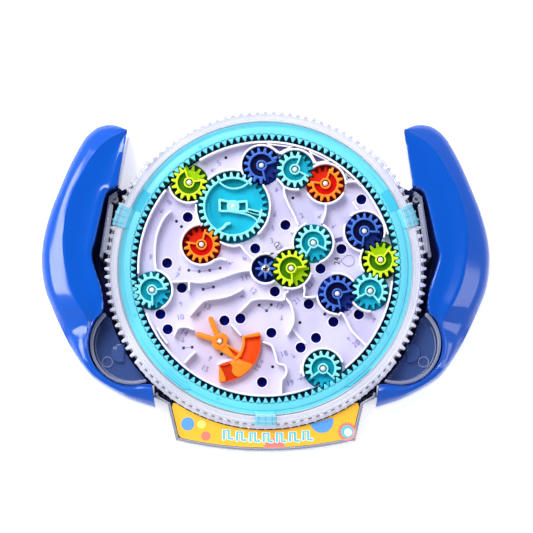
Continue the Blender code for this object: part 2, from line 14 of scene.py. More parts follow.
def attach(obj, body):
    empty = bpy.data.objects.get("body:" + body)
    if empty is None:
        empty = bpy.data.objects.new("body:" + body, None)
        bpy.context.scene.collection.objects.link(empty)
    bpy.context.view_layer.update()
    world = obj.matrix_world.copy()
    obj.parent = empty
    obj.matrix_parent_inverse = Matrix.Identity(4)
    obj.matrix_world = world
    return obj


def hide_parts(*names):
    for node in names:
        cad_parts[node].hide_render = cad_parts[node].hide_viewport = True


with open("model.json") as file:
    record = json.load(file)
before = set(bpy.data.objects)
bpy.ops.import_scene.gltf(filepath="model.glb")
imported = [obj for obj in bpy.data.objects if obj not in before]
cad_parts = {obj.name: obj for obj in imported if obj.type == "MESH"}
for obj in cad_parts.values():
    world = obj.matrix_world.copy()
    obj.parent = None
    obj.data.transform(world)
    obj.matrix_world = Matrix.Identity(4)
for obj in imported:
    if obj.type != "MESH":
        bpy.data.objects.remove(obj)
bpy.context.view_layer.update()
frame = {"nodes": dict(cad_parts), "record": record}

MM = 0.001

# Heights above the flat back, and the driving radii, as in the frame.
CASE_TOP = 9.3 * MM
PLATE_Z = (14.0 * MM, 15.5 * MM)
POCKET_Z = (15.4 * MM, 15.7 * MM)
FLOOR_Z = (16.0 * MM, 17.6 * MM)
BACK_FLOOR = 0.7 * MM
BACK_RELIEF_TOP = 1.0 * MM
BACK_BORDER = 0.982
BACK_RINGS = (58, 30)
BACK_RING_WIDTH = 2.5
FEET = ((-66, 36), (66, 36), (-38, -78), (38, -78))
TOOTH_TOP = 22.2 * MM
GEAR_TOP = 22.5 * MM
WALL_TOP = 23.0 * MM
POST_TOP = 23.7 * MM
RING_Z = (15.9 * MM, 23.1 * MM)
CARD_Z = (22.4 * MM, 23.0 * MM)
WELL_TOP = 26.0 * MM
PLATE_R = 70.0 * MM
WALL_T = 1.1 * MM
POCKET_R = 10.6 * MM
BIG_POCKET_R = 19.7 * MM
POST_R = 1.5 * MM
BORE_R = 2.0 * MM
HOLE_R = 2.8 * MM
RING_TEETH = 120
RING_PHASE = 1.5
PINION_TEETH = 8
WELL_CENTRE = (-73.1 * MM, -41.2 * MM)
WELL_R = 22.4 * MM

# name, driver, teeth, ball notch (start, end), finish
GEARS = (
    ("gear_lime_upper_left", "ring", 15, (11, 107), "lime"),
    ("gear_labyrinth", "gear_lime_upper_left", 30, (-5, 50), "cyan"),
    ("gear_orange_left", "gear_labyrinth", 15, (75, 172), "orange"),
    ("gear_navy_top", "gear_labyrinth", 15, (-76, 17), "navy"),
    ("gear_cyan_top", "gear_navy_top", 15, (-27, 67), "cyan"),
    ("gear_orange_upper_right", "gear_cyan_top", 15, (72, 174), "orange"),
    ("gear_lime_right", "ring", 15, (51, 147), "lime"),
    ("gear_navy_right", "gear_lime_right", 15, (-98, -3), "navy"),
    ("gear_cyan_right", "gear_lime_right", 15, (208, 309), "cyan"),
    ("gear_navy_lower_right", "gear_cyan_right", 15, (-79, 13), "navy"),
    ("gear_cyan_left", "ring", 15, (-88, 7), "cyan"),
    ("gear_cyan_bottom", "ring", 15, (216, 319), "cyan"),
    ("gear_lime_centre", "centre_pinion", 15, (-86, 7), "lime"),
    ("gear_cyan_centre", "gear_lime_centre", 15, (240, 333), "cyan"),
)

BALL_HOLES = (
    (-42.5, 28.7), (-53.8, 3.5), (-45.7, -10.1), (-57.4, -24.5), (-53.4, -32.8), (-22.4, -28.0),
    (-13.7, -26.9), (3.2, -34.7), (5.1, -12.1), (-1.9, -61.7), (19.2, -42.8), (27.6, -37.5),
    (37.1, -28.7), (51.0, -24.7), (23.6, -19.0), (30.1, 0.4), (41.5, 11.2), (52.5, 38.4),
    (10.9, 24.4), (-5.6, 11.5),
)

# Walls round the gears: gear, start and end angle.
POCKET_WALLS = (
    ("gear_lime_upper_left", 194, 293), ("gear_labyrinth", 178, 210), ("gear_labyrinth", 78, 132),
    ("gear_labyrinth", -47, 35), ("gear_cyan_left", -60, 80), ("gear_orange_left", 88, 312),
    ("gear_navy_top", 40, 205), ("gear_cyan_top", 20, 130), ("gear_cyan_top", 239, 280),
    ("gear_orange_upper_right", 210, 331), ("gear_orange_upper_right", 0, 125),
    ("gear_navy_right", -16, 130), ("gear_navy_right", 162, 262), ("gear_lime_right", 151, 214),
    ("gear_navy_lower_right", 39, 104), ("gear_navy_lower_right", 187, 268),
    ("gear_cyan_right", 214, 270), ("gear_cyan_centre", -70, 60), ("gear_cyan_centre", 110, 190),
    ("gear_lime_centre", 83, 131), ("gear_lime_centre", -110, -15), ("gear_cyan_bottom", 20, 200),
)

# Free walls of the tracks as centre lines, in millimetres.
TRACK_WALLS = (
    ((-52.0, 31.4), (-55.1, 28.4), (-57.9, 23.0), (-59.7, 17.4), (-60.4, 11.0), (-60.4, 5.0), (-59.7, -0.6)),
    ((-50.5, -7.3), (-43.6, -6.9), (-36.7, -7.4), (-31.0, -6.9), (-23.3, -4.6), (-15.7, -1.9), (-8.7, -0.8)),
    ((-41.7, -7.6), (-41.7, -11.9)),
    ((-40.9, -25.3), (-36.7, -20.4), (-32.9, -17.3), (-25.2, -16.1), (-19.0, -14.4), (-12.6, -11.1)),
    ((-26.7, 4.9), (-24.6, 5.5), (-21.8, 4.8)),
    ((-24.5, 14.4), (-21.0, 12.9), (-17.0, 12.3), (-13.7, 12.6), (-11.0, 9.2), (-6.9, 5.4)),
    ((6.4, 49.0), (9.8, 45.2), (10.3, 41.0), (12.4, 35.4), (15.4, 29.5), (17.8, 24.3)),
    ((14.2, 20.3), (16.6, 20.3)),
    ((32.9, 34.8), (32.6, 29.9), (30.8, 25.1)),
    ((43.8, 47.5), (49.3, 47.7), (52.1, 45.5)),
    ((48.0, 36.2), (49.3, 33.6), (50.5, 32.4)),
    ((20.9, -9.2), (21.4, -12.2), (21.3, -15.5), (27.0, -15.4)),
    ((39.8, -25.4), (41.6, -24.4), (44.4, -29.0), (46.6, -33.4), (49.3, -36.5), (55.0, -42.2)),
    ((-14.0, -23.7), (-9.8, -19.4), (-6.9, -17.0), (0.0, -16.4), (8.5, -17.2), (11.0, -16.0)),
    ((11.0, -16.0), (13.7, -19.6), (15.1, -24.6), (15.1, -30.0), (12.0, -36.0)),
    ((12.2, -12.4), (10.4, -14.2), (10.8, -16.2)),
    ((-1.0, -40.2), (3.0, -41.8), (4.6, -44.8), (5.6, -48.0), (6.7, -51.6), (10.2, -52.8), (11.5, -55.6),
     (10.8, -58.6), (8.8, -61.2), (8.6, -67.6)),
    ((-43.8, -51.2), (-41.2, -48.2), (-38.5, -45.7)),
    ((-39.6, -33.3), (-43.1, -31.8), (-47.7, -32.5), (-49.6, -36.3)),
    ((-58.8, -32.5), (-56.6, -36.6), (-53.8, -40.6)),
    ((19.4, -52.8), (19.4, -57.0)),
    ((-18.6, -30.6), (-16.2, -33.2), (-13.6, -36.3)),
)
# Where the plate's rim wall runs, in degrees, between the gears that break through it.
RIM_ARCS = ((16, 121), (142, 182), (201, 290), (309, 354))
LOW_STEPS = (
    ((15.1, -32.9), (17.8, -36.4), (21.7, -40.5)),
    ((-17.8, -49.3), (-22.8, -50.7), (-25.5, -52.0)),
)
TRIANGLES = (
    ((2.7, 67.7), (12.8, 66.6), (7.7, 63.9)),
    ((25.1, 63.0), (33.3, 59.3), (27.8, 58.3)),
    ((44.2, 51.5), (47.1, 49.1), (45.0, 49.0)),
)

# Track numbers in relief: text, x, y, turn in degrees.
NUMBERS = (
    (1, 4.1, 22.6, 15), (2, 19.9, 29.5, 25), (3, 3.4, 15.6, 10), (4, 6.3, 43.8, 160), (5, -25.4, 58.3, 30),
    (6, -62.8, 7.0, 165), (7, -48.3, -3.4, -25), (8, -52.5, 36.8, 45), (9, -11.8, 6.2, -135),
    (10, -46.6, -26.3, 10), (11, -11.5, -4.8, 15), (12, -6.9, -11.7, -35), (13, -31.8, -20.4, -25),
    (14, -44.5, -34.6, -30), (15, -33.1, -54.3, -30), (16, -4.2, -54.0, 60), (17, 7.6, -20.3, -20),
    (18, 10.1, -46.3, 20), (19, 13.5, -62.3, 15), (20, 49.5, -40.7, 35), (21, 17.1, -17.2, 45),
    (22, 24.0, -8.8, 50), (23, 45.2, -23.3, 45),
)
ARROWS = (
    (-56.7, 32.2, 225), (-28.6, 54.8, 205), (-46.9, 0.6, 250), (29.7, 29.2, 235), (5.2, 30.2, 250),
    (37.4, 23.7, 215), (-46.1, -19.1, 110), (-36.3, -24.3, 230), (-45.0, -38.6, 260), (-30.3, -48.8, 60),
    (-1.9, -51.0, 70), (8.7, -26.5, 265), (15.0, -47.2, -50), (18.6, -60.0, 15), (45.6, -38.2, 130),
    (59.2, -27.8, 60), (-18.8, 3.5, 205), (-12.2, -15.0, 160),
)
DOTS = (
    (-21.7, 61.4), (15.0, 39.2), (-48.7, 26.4), (-46.0, 23.5), (-24.0, -46.4), (3.9, -53.3),
    (32.4, -24.5), (18.8, -29.1),
)
DOT_CHAINS = (
    ((-41.9, -0.5), (-36.2, -1.1), (-30.5, -0.5), (-24.8, 0.7)), ((-34.0, -10.9), (-28.5, -9.7)),
    ((-44.7, -43.0), (-40.1, -42.6)), ((-3.4, -19.6), (0.6, -22.6), (3.1, -19.4)),
)

# Left grip, from the horn's corner round to the tail: outer edge, crease and inner edge, in millimetres.
GRIP_STATIONS = (
    ((-75.0, 75.2), (-75.9, 74.2), (-75.4, 72.8)), ((-80.5, 78.0), (-80.6, 72.3), (-76.2, 68.0)),
    ((-86.0, 78.9), (-85.7, 69.3), (-77.0, 63.8)), ((-92.0, 77.4), (-89.7, 66.0), (-77.6, 60.0)),
    ((-97.5, 72.9), (-92.8, 62.4), (-78.3, 56.5)), ((-101.2, 67.6), (-95.6, 58.3), (-79.0, 52.5)),
    ((-106.4, 57.8), (-99.8, 50.8), (-79.9, 47.9)), ((-109.4, 51.0), (-102.4, 46.0), (-80.7, 44.5)),
    ((-111.9, 45.0), (-104.6, 41.3), (-86.4, 41.0)), ((-117.5, 30.8), (-108.2, 30.4), (-89.7, 29.0)),
    ((-121.2, 17.0), (-109.8, 18.5), (-92.6, 15.6)), ((-122.4, 4.0), (-109.3, 5.5), (-94.6, 7.3)),
    ((-120.6, -10.4), (-106.4, -9.0), (-92.3, -2.4)), ((-116.6, -21.2), (-101.4, -20.4), (-89.4, -11.4)),
    ((-113.2, -28.8), (-97.6, -26.2), (-88.2, -22.8)), ((-109.3, -37.1), (-96.4, -31.4), (-93.4, -29.9)),
    ((-104.9, -45.1), (-98.2, -42.0), (-96.3, -41.2)), ((-99.2, -53.9), (-96.0, -52.0), (-94.4, -50.8)),
    ((-93.6, -60.2), (-90.6, -58.2), (-89.4, -57.4)), ((-84.3, -66.2), (-83.2, -63.4), (-82.6, -62.3)),
    ((-74.2, -71.2), (-74.6, -66.4), (-74.8, -64.4)), ((-66.0, -73.9), (-66.0, -66.6), (-66.4, -63.6)),
    ((-60.0, -75.6), (-61.3, -67.6), (-61.7, -63.8)),
)


# ---------------------------------------------------------------- outlines

def arc(centre, radius, start, end, steps):
    """Points on an arc, both ends included, angles in degrees."""
    turns = [math.radians(start + (end - start) * i / steps) for i in range(steps + 1)]
    return [(centre[0] + radius * math.cos(t), centre[1] + radius * math.sin(t)) for t in turns]


def circle(centre, radius, sides=32):
    return arc(centre, radius, 0, 360, sides)[:-1]


def sector(inner_r, outer_r, start, end, steps=24, centre=(0, 0)):
    """Outline of a piece of a ring."""
    return arc(centre, outer_r, start, end, steps) + arc(centre, inner_r, end, start, steps)


def polar(centre, distance, degrees):
    turn = math.radians(degrees)
    return (centre[0] + distance * math.cos(turn), centre[1] + distance * math.sin(turn))


def mirrored(points):
    """The same outline on the other side of the YZ plane."""
    return [(-x, y) for x, y in reversed(points)]


def in_mm(points):
    return [(x * MM, y * MM) for x, y in points]


def flowing(points, steps=4):
    """A smooth line through the points (a Catmull-Rom curve)."""
    ends = [points[0], *points, points[-1]]
    line = []
    for a, b, c, d in zip(ends, ends[1:], ends[2:], ends[3:]):
        for i in range(steps):
            t = i / steps
            line.append(tuple(
                0.5 * (2 * q + (r - p) * t + (2 * p - 5 * q + 4 * r - s) * t * t
                       + (3 * q - p - 3 * r + s) * t ** 3)
                for p, q, r, s in zip(a, b, c, d)))
    line.append(tuple(points[-1]))
    return line


def strip(points, width):
    """Outline of a wall of even width along a line of points, with rounded ends."""
    left, right = [], []
    last = len(points) - 1
    for i, (x, y) in enumerate(points):
        before, after = points[max(i - 1, 0)], points[min(i + 1, last)]
        dx, dy = after[0] - before[0], after[1] - before[1]
        length = math.hypot(dx, dy) or 1
        nx, ny = -dy / length * width / 2, dx / length * width / 2
        left.append((x + nx, y + ny))
        right.append((x - nx, y - ny))
    heading = math.degrees(math.atan2(points[-1][1] - points[-2][1], points[-1][0] - points[-2][0]))
    start_heading = math.degrees(math.atan2(points[0][1] - points[1][1], points[0][0] - points[1][0]))
    nose = arc(points[-1], width / 2, heading + 90, heading - 90, 4)[1:-1]
    tail = arc(points[0], width / 2, start_heading + 90, start_heading - 90, 4)[1:-1]
    return left + nose + right[::-1] + tail


def finger(root_r, tip_r, root_w, tip_w):
    """Outline of one rounded gear tooth that points along +X."""
    shoulder = tip_r - tip_w / 2
    nose = [(shoulder + tip_w / 2 * math.sin(t), -tip_w / 2 * math.cos(t))
            for t in (0, math.pi / 4, math.pi / 2, 3 * math.pi / 4, math.pi)]
    return [(root_r, -root_w / 2)] + nose + [(root_r, root_w / 2)]


def area(loop):
    return sum(a[0] * b[1] - b[0] * a[1] for a, b in zip(loop, loop[1:] + loop[:1])) / 2


# ---------------------------------------------------------------- meshes

def cleaned(shape, name="shape"):
    """Close the seams, turn the faces outwards and hand back a plain mesh."""
    bmesh.ops.remove_doubles(shape, verts=shape.verts, dist=0.000004)
    bmesh.ops.recalc_face_normals(shape, faces=shape.faces)
    mesh = bpy.data.meshes.new(name)
    shape.to_mesh(mesh)
    shape.free()
    return mesh


def evaluated_mesh(obj):
    bpy.context.view_layer.update()
    mesh = bpy.data.meshes.new_from_object(obj.evaluated_get(bpy.context.evaluated_depsgraph_get()))
    data = obj.data
    bpy.data.objects.remove(obj, do_unlink=True)
    if isinstance(data, bpy.types.Curve):
        bpy.data.curves.remove(data)
    return mesh


def prism(loops, low, high, edge=0.0):
    """A closed flat-topped shape from an outline and its holes, its edges eased by edge.

    The curve is filled at millimetre scale, where the fill keeps small corners apart.
    """
    curve = bpy.data.curves.new("outline", "CURVE")
    curve.dimensions = "2D"
    curve.fill_mode = "BOTH"
    curve.extrude = ((high - low) / 2 - edge) / MM
    curve.bevel_depth = edge / MM
    curve.bevel_resolution = 1
    curve.offset = -edge / MM
    for i, loop in enumerate(loops):
        if (area(loop) > 0) == (i == 0):
            loop = loop[::-1]
        spline = curve.splines.new("POLY")
        spline.points.add(len(loop) - 1)
        for point, (x, y) in zip(spline.points, loop):
            point.co = (x / MM, y / MM, 0, 1)
        spline.use_cyclic_u = True
    holder = bpy.data.objects.new("outline", curve)
    bpy.context.scene.collection.objects.link(holder)
    mesh = evaluated_mesh(holder)
    mesh.transform(Matrix.Translation((0, 0, (low + high) / 2)) @ Matrix.Scale(MM, 4))
    shape = bmesh.new()
    shape.from_mesh(mesh)
    bpy.data.meshes.remove(mesh)
    return cleaned(shape)


def turned(profile, steps=96, centre=(0, 0), ring=False):
    """A solid of revolution from (radius, height) points; a ring's profile is a closed loop."""
    shape = bmesh.new()
    line = [shape.verts.new((radius, 0, height)) for radius, height in profile]
    pairs = list(zip(line, line[1:])) + ([(line[-1], line[0])] if ring else [])
    edges = [shape.edges.new(pair) for pair in pairs]
    bmesh.ops.spin(shape, geom=line + edges, axis=(0, 0, 1), cent=(0, 0, 0), angle=2 * math.pi, steps=steps)
    bmesh.ops.translate(shape, verts=shape.verts, vec=(centre[0], centre[1], 0))
    return cleaned(shape)


def lettering(text, size, height, place, degrees, low):
    """A raised number."""
    curve = bpy.data.curves.new("number", "FONT")
    curve.body = str(text)
    curve.size = size / MM
    curve.align_x = "CENTER"
    curve.align_y = "CENTER"
    curve.extrude = height / MM / 2
    curve.resolution_u = 3
    holder = bpy.data.objects.new("number", curve)
    bpy.context.scene.collection.objects.link(holder)
    mesh = evaluated_mesh(holder)
    mesh.transform(Matrix.Translation((place[0], place[1], low + height / 2))
                   @ Matrix.Rotation(math.radians(degrees), 4, "Z") @ Matrix.Scale(MM, 4))
    return mesh


def moved(mesh, place=(0, 0), degrees=0.0, mirror=False):
    """Turn a mesh about Z, then set it in its place."""
    if mirror:
        mesh.transform(Matrix.Scale(-1, 4, (1, 0, 0)))
        mesh.flip_normals()
    mesh.transform(Matrix.Translation((place[0], place[1], 0)) @
                   Matrix.Rotation(math.radians(degrees), 4, "Z"))
    return mesh


def lofted(sections):
    """A closed tube through sections of equal point counts, each a closed loop, with end caps."""
    shape = bmesh.new()
    loops = [[shape.verts.new(point) for point in section] for section in sections]
    count = len(loops[0])
    for one, two in zip(loops, loops[1:]):
        for i in range(count):
            j = (i + 1) % count
            shape.faces.new((one[i], one[j], two[j], two[i]))
    shape.faces.new(loops[0][::-1])
    shape.faces.new(loops[-1])
    return cleaned(shape)


def round_tree():
    """Geometry Nodes that copy one tooth round the Z axis."""
    tree = bpy.data.node_groups.new("teeth_in_a_ring", "GeometryNodeTree")
    for name, kind in (("Tooth", "NodeSocketGeometry"), ("Count", "NodeSocketInt"),
                       ("First Angle", "NodeSocketFloat"), ("Step Angle", "NodeSocketFloat"),
                       ("Finish", "NodeSocketMaterial")):
        tree.interface.new_socket(name, in_out="INPUT", socket_type=kind)
    tree.interface.new_socket("Ring", in_out="OUTPUT", socket_type="NodeSocketGeometry")
    given = tree.nodes.new("NodeGroupInput")
    result = tree.nodes.new("NodeGroupOutput")
    points = tree.nodes.new("GeometryNodePoints")
    index = tree.nodes.new("GeometryNodeInputIndex")
    angle = tree.nodes.new("ShaderNodeMath")
    angle.operation = "MULTIPLY_ADD"
    turn = tree.nodes.new("ShaderNodeCombineXYZ")
    rotation = tree.nodes.new("FunctionNodeEulerToRotation")
    copies = tree.nodes.new("GeometryNodeInstanceOnPoints")
    real = tree.nodes.new("GeometryNodeRealizeInstances")
    finish = tree.nodes.new("GeometryNodeSetMaterial")
    link = tree.links.new
    link(given.outputs["Count"], points.inputs["Count"])
    link(index.outputs["Index"], angle.inputs[0])
    link(given.outputs["Step Angle"], angle.inputs[1])
    link(given.outputs["First Angle"], angle.inputs[2])
    link(angle.outputs["Value"], turn.inputs["Z"])
    link(turn.outputs["Vector"], rotation.inputs["Euler"])
    link(points.outputs["Points"], copies.inputs["Points"])
    link(given.outputs["Tooth"], copies.inputs["Instance"])
    link(rotation.outputs["Rotation"], copies.inputs["Rotation"])
    link(copies.outputs["Instances"], real.inputs["Geometry"])
    link(real.outputs["Geometry"], finish.inputs["Geometry"])
    link(given.outputs["Finish"], finish.inputs["Material"])
    link(finish.outputs["Geometry"], result.inputs["Ring"])
    return tree


def round_copies(tooth, count, first, step, finish):
    """The tooth copied count times, the first at an angle and the next ones a step apart, in degrees."""
    holder = bpy.data.objects.new("tooth", tooth)
    bpy.context.scene.collection.objects.link(holder)
    modifier = holder.modifiers.new("ring", "NODES")
    modifier.node_group = ROUND
    values = {"Count": count, "First Angle": math.radians(first), "Step Angle": math.radians(step),
              "Finish": finish}
    for socket in ROUND.interface.items_tree:
        if socket.in_out == "INPUT" and socket.name in values:
            modifier[socket.identifier] = values[socket.name]
    mesh = evaluated_mesh(holder)
    bpy.data.meshes.remove(tooth)
    return mesh


def assemble(name, body, parts, replaces=(), sharp=38):
    """Join (mesh, finish) pairs into one piece that rides on a body and stands for CAD nodes."""
    shape = bmesh.new()
    finishes = []
    for mesh, finish in parts:
        if finish not in finishes:
            finishes.append(finish)
        start = len(shape.faces)
        shape.from_mesh(mesh)
        shape.faces.ensure_lookup_table()
        for face in shape.faces[start:]:
            face.material_index = finishes.index(finish)
        bpy.data.meshes.remove(mesh)
    mesh = bpy.data.meshes.new(name)
    shape.to_mesh(mesh)
    shape.free()
    for finish in finishes:
        mesh.materials.append(finish)
    mesh.shade_smooth()
    mesh.set_sharp_from_angle(angle=math.radians(sharp))
    piece = bpy.data.objects.new(name, mesh)
    bpy.context.scene.collection.objects.link(piece)
    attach(piece, body)
    if replaces:
        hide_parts(*replaces)
    return piece


# ---------------------------------------------------------------- finishes

def srgb(red, green, blue):
    """Linear colour of a shade given as 0-255 display values."""
    return tuple((v / 12.92 if v <= 0.04045 else ((v + 0.055) / 1.055) ** 2.4)
                 for v in (red / 255, green / 255, blue / 255)) + (1.0,)


def moulded_group():
    """Soft flow marks, uneven gloss and a fine grain, as on injection-moulded plastic; set strong on the
    plate floor, the darkening stands in for painted soft shade.
    """
    tree = bpy.data.node_groups.new("moulded_plastic", "ShaderNodeTree")
    for name, kind, value in (("Colour", "NodeSocketColor", None), ("Shade", "NodeSocketFloat", 0.2),
                              ("Scale", "NodeSocketFloat", 40.0), ("Gloss Break", "NodeSocketFloat", 0.08),
                              ("Roughness", "NodeSocketFloat", 0.2)):
        socket = tree.interface.new_socket(name, in_out="INPUT", socket_type=kind)
        if value is not None:
            socket.default_value = value
    for name, kind in (("Colour", "NodeSocketColor"), ("Roughness", "NodeSocketFloat"),
                       ("Height", "NodeSocketFloat")):
        tree.interface.new_socket(name, in_out="OUTPUT", socket_type=kind)
    given = tree.nodes.new("NodeGroupInput")
    result = tree.nodes.new("NodeGroupOutput")
    place = tree.nodes.new("ShaderNodeTexCoord")
    flow = tree.nodes.new("ShaderNodeTexNoise")
    flow.inputs["Detail"].default_value = 2.0
    flow.inputs["Distortion"].default_value = 0.6
    grain = tree.nodes.new("ShaderNodeTexNoise")
    grain.inputs["Scale"].default_value = 900.0
    spread = tree.nodes.new("ShaderNodeMapRange")
    spread.inputs["From Min"].default_value = 0.35
    spread.inputs["From Max"].default_value = 0.68
    amount = tree.nodes.new("ShaderNodeMath")
    amount.operation = "MULTIPLY"
    tint = tree.nodes.new("ShaderNodeMix")
    tint.data_type = "RGBA"
    tint.blend_type = "MULTIPLY"
    tint.inputs["B"].default_value = (0.60, 0.62, 0.74, 1.0)
    rough = tree.nodes.new("ShaderNodeMath")
    rough.operation = "MULTIPLY_ADD"
    link = tree.links.new
    link(place.outputs["Object"], flow.inputs["Vector"])
    link(place.outputs["Object"], grain.inputs["Vector"])
    link(given.outputs["Scale"], flow.inputs["Scale"])
    link(flow.outputs["Fac"], spread.inputs["Value"])
    link(spread.outputs["Result"], amount.inputs[0])
    link(given.outputs["Shade"], amount.inputs[1])
    link(amount.outputs["Value"], tint.inputs["Factor"])
    link(given.outputs["Colour"], tint.inputs["A"])
    link(tint.outputs["Result"], result.inputs["Colour"])
    link(flow.outputs["Fac"], rough.inputs[0])
    link(given.outputs["Gloss Break"], rough.inputs[1])
    link(given.outputs["Roughness"], rough.inputs[2])
    link(rough.outputs["Value"], result.inputs["Roughness"])
    link(grain.outputs["Fac"], result.inputs["Height"])
    return tree


def dust_group():
    """A thin pale film on what faces up, thicker in patches."""
    tree = bpy.data.node_groups.new("settled_dust", "ShaderNodeTree")
    tree.interface.new_socket("Colour", in_out="INPUT", socket_type="NodeSocketColor")
    tree.interface.new_socket("Amount", in_out="INPUT", socket_type="NodeSocketFloat")
    tree.interface.new_socket("Colour", in_out="OUTPUT", socket_type="NodeSocketColor")
    given = tree.nodes.new("NodeGroupInput")
    result = tree.nodes.new("NodeGroupOutput")
    place = tree.nodes.new("ShaderNodeTexCoord")
    patches = tree.nodes.new("ShaderNodeTexNoise")
    patches.inputs["Scale"].default_value = 120.0
    patches.inputs["Detail"].default_value = 5.0
    split = tree.nodes.new("ShaderNodeSeparateXYZ")
    facing = tree.nodes.new("ShaderNodeMath")
    facing.operation = "MULTIPLY"
    facing.use_clamp = True
    amount = tree.nodes.new("ShaderNodeMath")
    amount.operation = "MULTIPLY"
    film = tree.nodes.new("ShaderNodeMix")
    film.data_type = "RGBA"
    film.inputs["B"].default_value = (0.80, 0.80, 0.84, 1.0)
    link = tree.links.new
    link(place.outputs["Object"], patches.inputs["Vector"])
    link(place.outputs["Normal"], split.inputs["Vector"])
    link(split.outputs["Z"], facing.inputs[0])
    link(patches.outputs["Fac"], facing.inputs[1])
    link(facing.outputs["Value"], amount.inputs[0])
    link(given.outputs["Amount"], amount.inputs[1])
    link(amount.outputs["Value"], film.inputs["Factor"])
    link(given.outputs["Colour"], film.inputs["A"])
    link(film.outputs["Result"], result.inputs["Colour"])
    return tree


def plastic(name, colour, roughness=0.22, shade=0.25, scale=40.0, grain=0.03, shine=0.25, dust=0.0):
    """Moulded plastic in one colour, with its own flow marks, grain and dust."""
    material = bpy.data.materials.new(name)
    material.use_nodes = True
    tree = material.node_tree
    shader = tree.nodes["Principled BSDF"]
    moulded = tree.nodes.new("ShaderNodeGroup")
    moulded.node_tree = MOULDED
    moulded.inputs["Colour"].default_value = colour
    moulded.inputs["Shade"].default_value = shade
    moulded.inputs["Scale"].default_value = scale
    moulded.inputs["Roughness"].default_value = roughness
    film = tree.nodes.new("ShaderNodeGroup")
    film.node_tree = DUST
    film.inputs["Amount"].default_value = dust
    bump = tree.nodes.new("ShaderNodeBump")
    bump.inputs["Strength"].default_value = grain
    bump.inputs["Distance"].default_value = 0.3 * MM
    shader.inputs["Specular IOR Level"].default_value = shine
    link = tree.links.new
    link(moulded.outputs["Colour"], film.inputs["Colour"])
    link(film.outputs["Colour"], shader.inputs["Base Color"])
    link(moulded.outputs["Roughness"], shader.inputs["Roughness"])
    link(moulded.outputs["Height"], bump.inputs["Height"])
    link(bump.outputs["Normal"], shader.inputs["Normal"])
    return material


def clear_plastic(name, colour, through, edge, blend=0.35, roughness=0.06):
    """Polished clear plastic: nearly invisible face on and whiter where it is seen edge on."""
    material = plastic(name, colour, roughness, 0.12, 30.0, 0.01)
    tree = material.node_tree
    shader = tree.nodes["Principled BSDF"]
    facing = tree.nodes.new("ShaderNodeLayerWeight")
    facing.inputs["Blend"].default_value = blend
    solid = tree.nodes.new("ShaderNodeMapRange")
    solid.inputs["To Min"].default_value = through
    solid.inputs["To Max"].default_value = edge
    tree.links.new(facing.outputs["Facing"], solid.inputs["Value"])
    tree.links.new(solid.outputs["Result"], shader.inputs["Alpha"])
    return material


def polished_steel():
    """Bright steel with fine handling scratches."""
    material = plastic("polished_steel", srgb(205, 205, 212), 0.12, 0.2, 300.0, 0.02)
    material.node_tree.nodes["Principled BSDF"].inputs["Metallic"].default_value = 1.0
    return material


def gear_finish(name, rim, recess, floor, pocket):
    """One gear colour: rim and teeth in the gear's own colour, darker copies as painted shade for the recess
    and the lower floor, and the darkest as painted shadow for the pocket under the gear.
    """
    return {
        "rim": plastic(name + "_rim", srgb(*rim), 0.25, 0.18, 160.0, 0.02, 0.2),
        # Painted shade: the recess and the lower floor are darker copies of the gear's own colour.
        "recess": plastic(name + "_recess", srgb(*recess), 0.4, 0.3, 160.0, 0.02, 0.05),
        "floor": plastic(name + "_floor", srgb(*floor), 0.35, 0.45, 110.0, 0.02, 0.08),
        # Painted shadow: the pocket floor under the gear is a dark copy of its colour.
        "pocket": plastic(name + "_pocket", srgb(*pocket), 0.5, 0.2, 90.0, 0.02, 0.04),
    }


MOULDED = moulded_group()
DUST = dust_group()
ROUND = round_tree()
BLUE_GRIP = plastic("blue_grip", srgb(0, 78, 184), 0.07, 0.16, 14.0, 0.004, 0.45)
NAVY_CASE = plastic("navy_case", srgb(12, 24, 84), 0.22, 0.25, 25.0, 0.02, 0.15)
DEEP_NAVY = plastic("deep_navy", srgb(10, 34, 214), 0.4, 0.25, 25.0, 0.02, 0.05)
# Painted shade: the plate floor's large darker lavender patches (strong flow marks) stand in for the soft
# shading between the walls.
PLATE_WHITE = plastic("plate_white", srgb(216, 211, 238), 0.38, 0.45, 26.0, 0.03)
# Painted highlight: a lighter copy of the plate's white for the lit tops of walls, posts, lands and hole
# lips.
PLATE_HIGHLIT = plastic("plate_highlit", srgb(238, 236, 249), 0.3, 0.1, 60.0, 0.02)
# Painted shade: a dark lavender copy of the plate for the floors of the three-cornered recesses and the
# slot.
PLATE_PAINTED_SHADE = plastic("plate_painted_shade", srgb(92, 88, 140), 0.5, 0.3, 60.0, 0.02)
PLATE_RELIEF = plastic("plate_relief", srgb(146, 141, 188), 0.4, 0.2, 90.0, 0.02)
BLACK_DOT = plastic("black_dot", srgb(8, 8, 16), 0.5, 0.1, 90.0, 0.02)
CYAN_RING = plastic("cyan_ring", srgb(108, 214, 234), 0.3, 0.25, 22.0, 0.02)
CYAN_STEP = plastic("cyan_step", srgb(60, 188, 218), 0.32, 0.16, 22.0, 0.02)
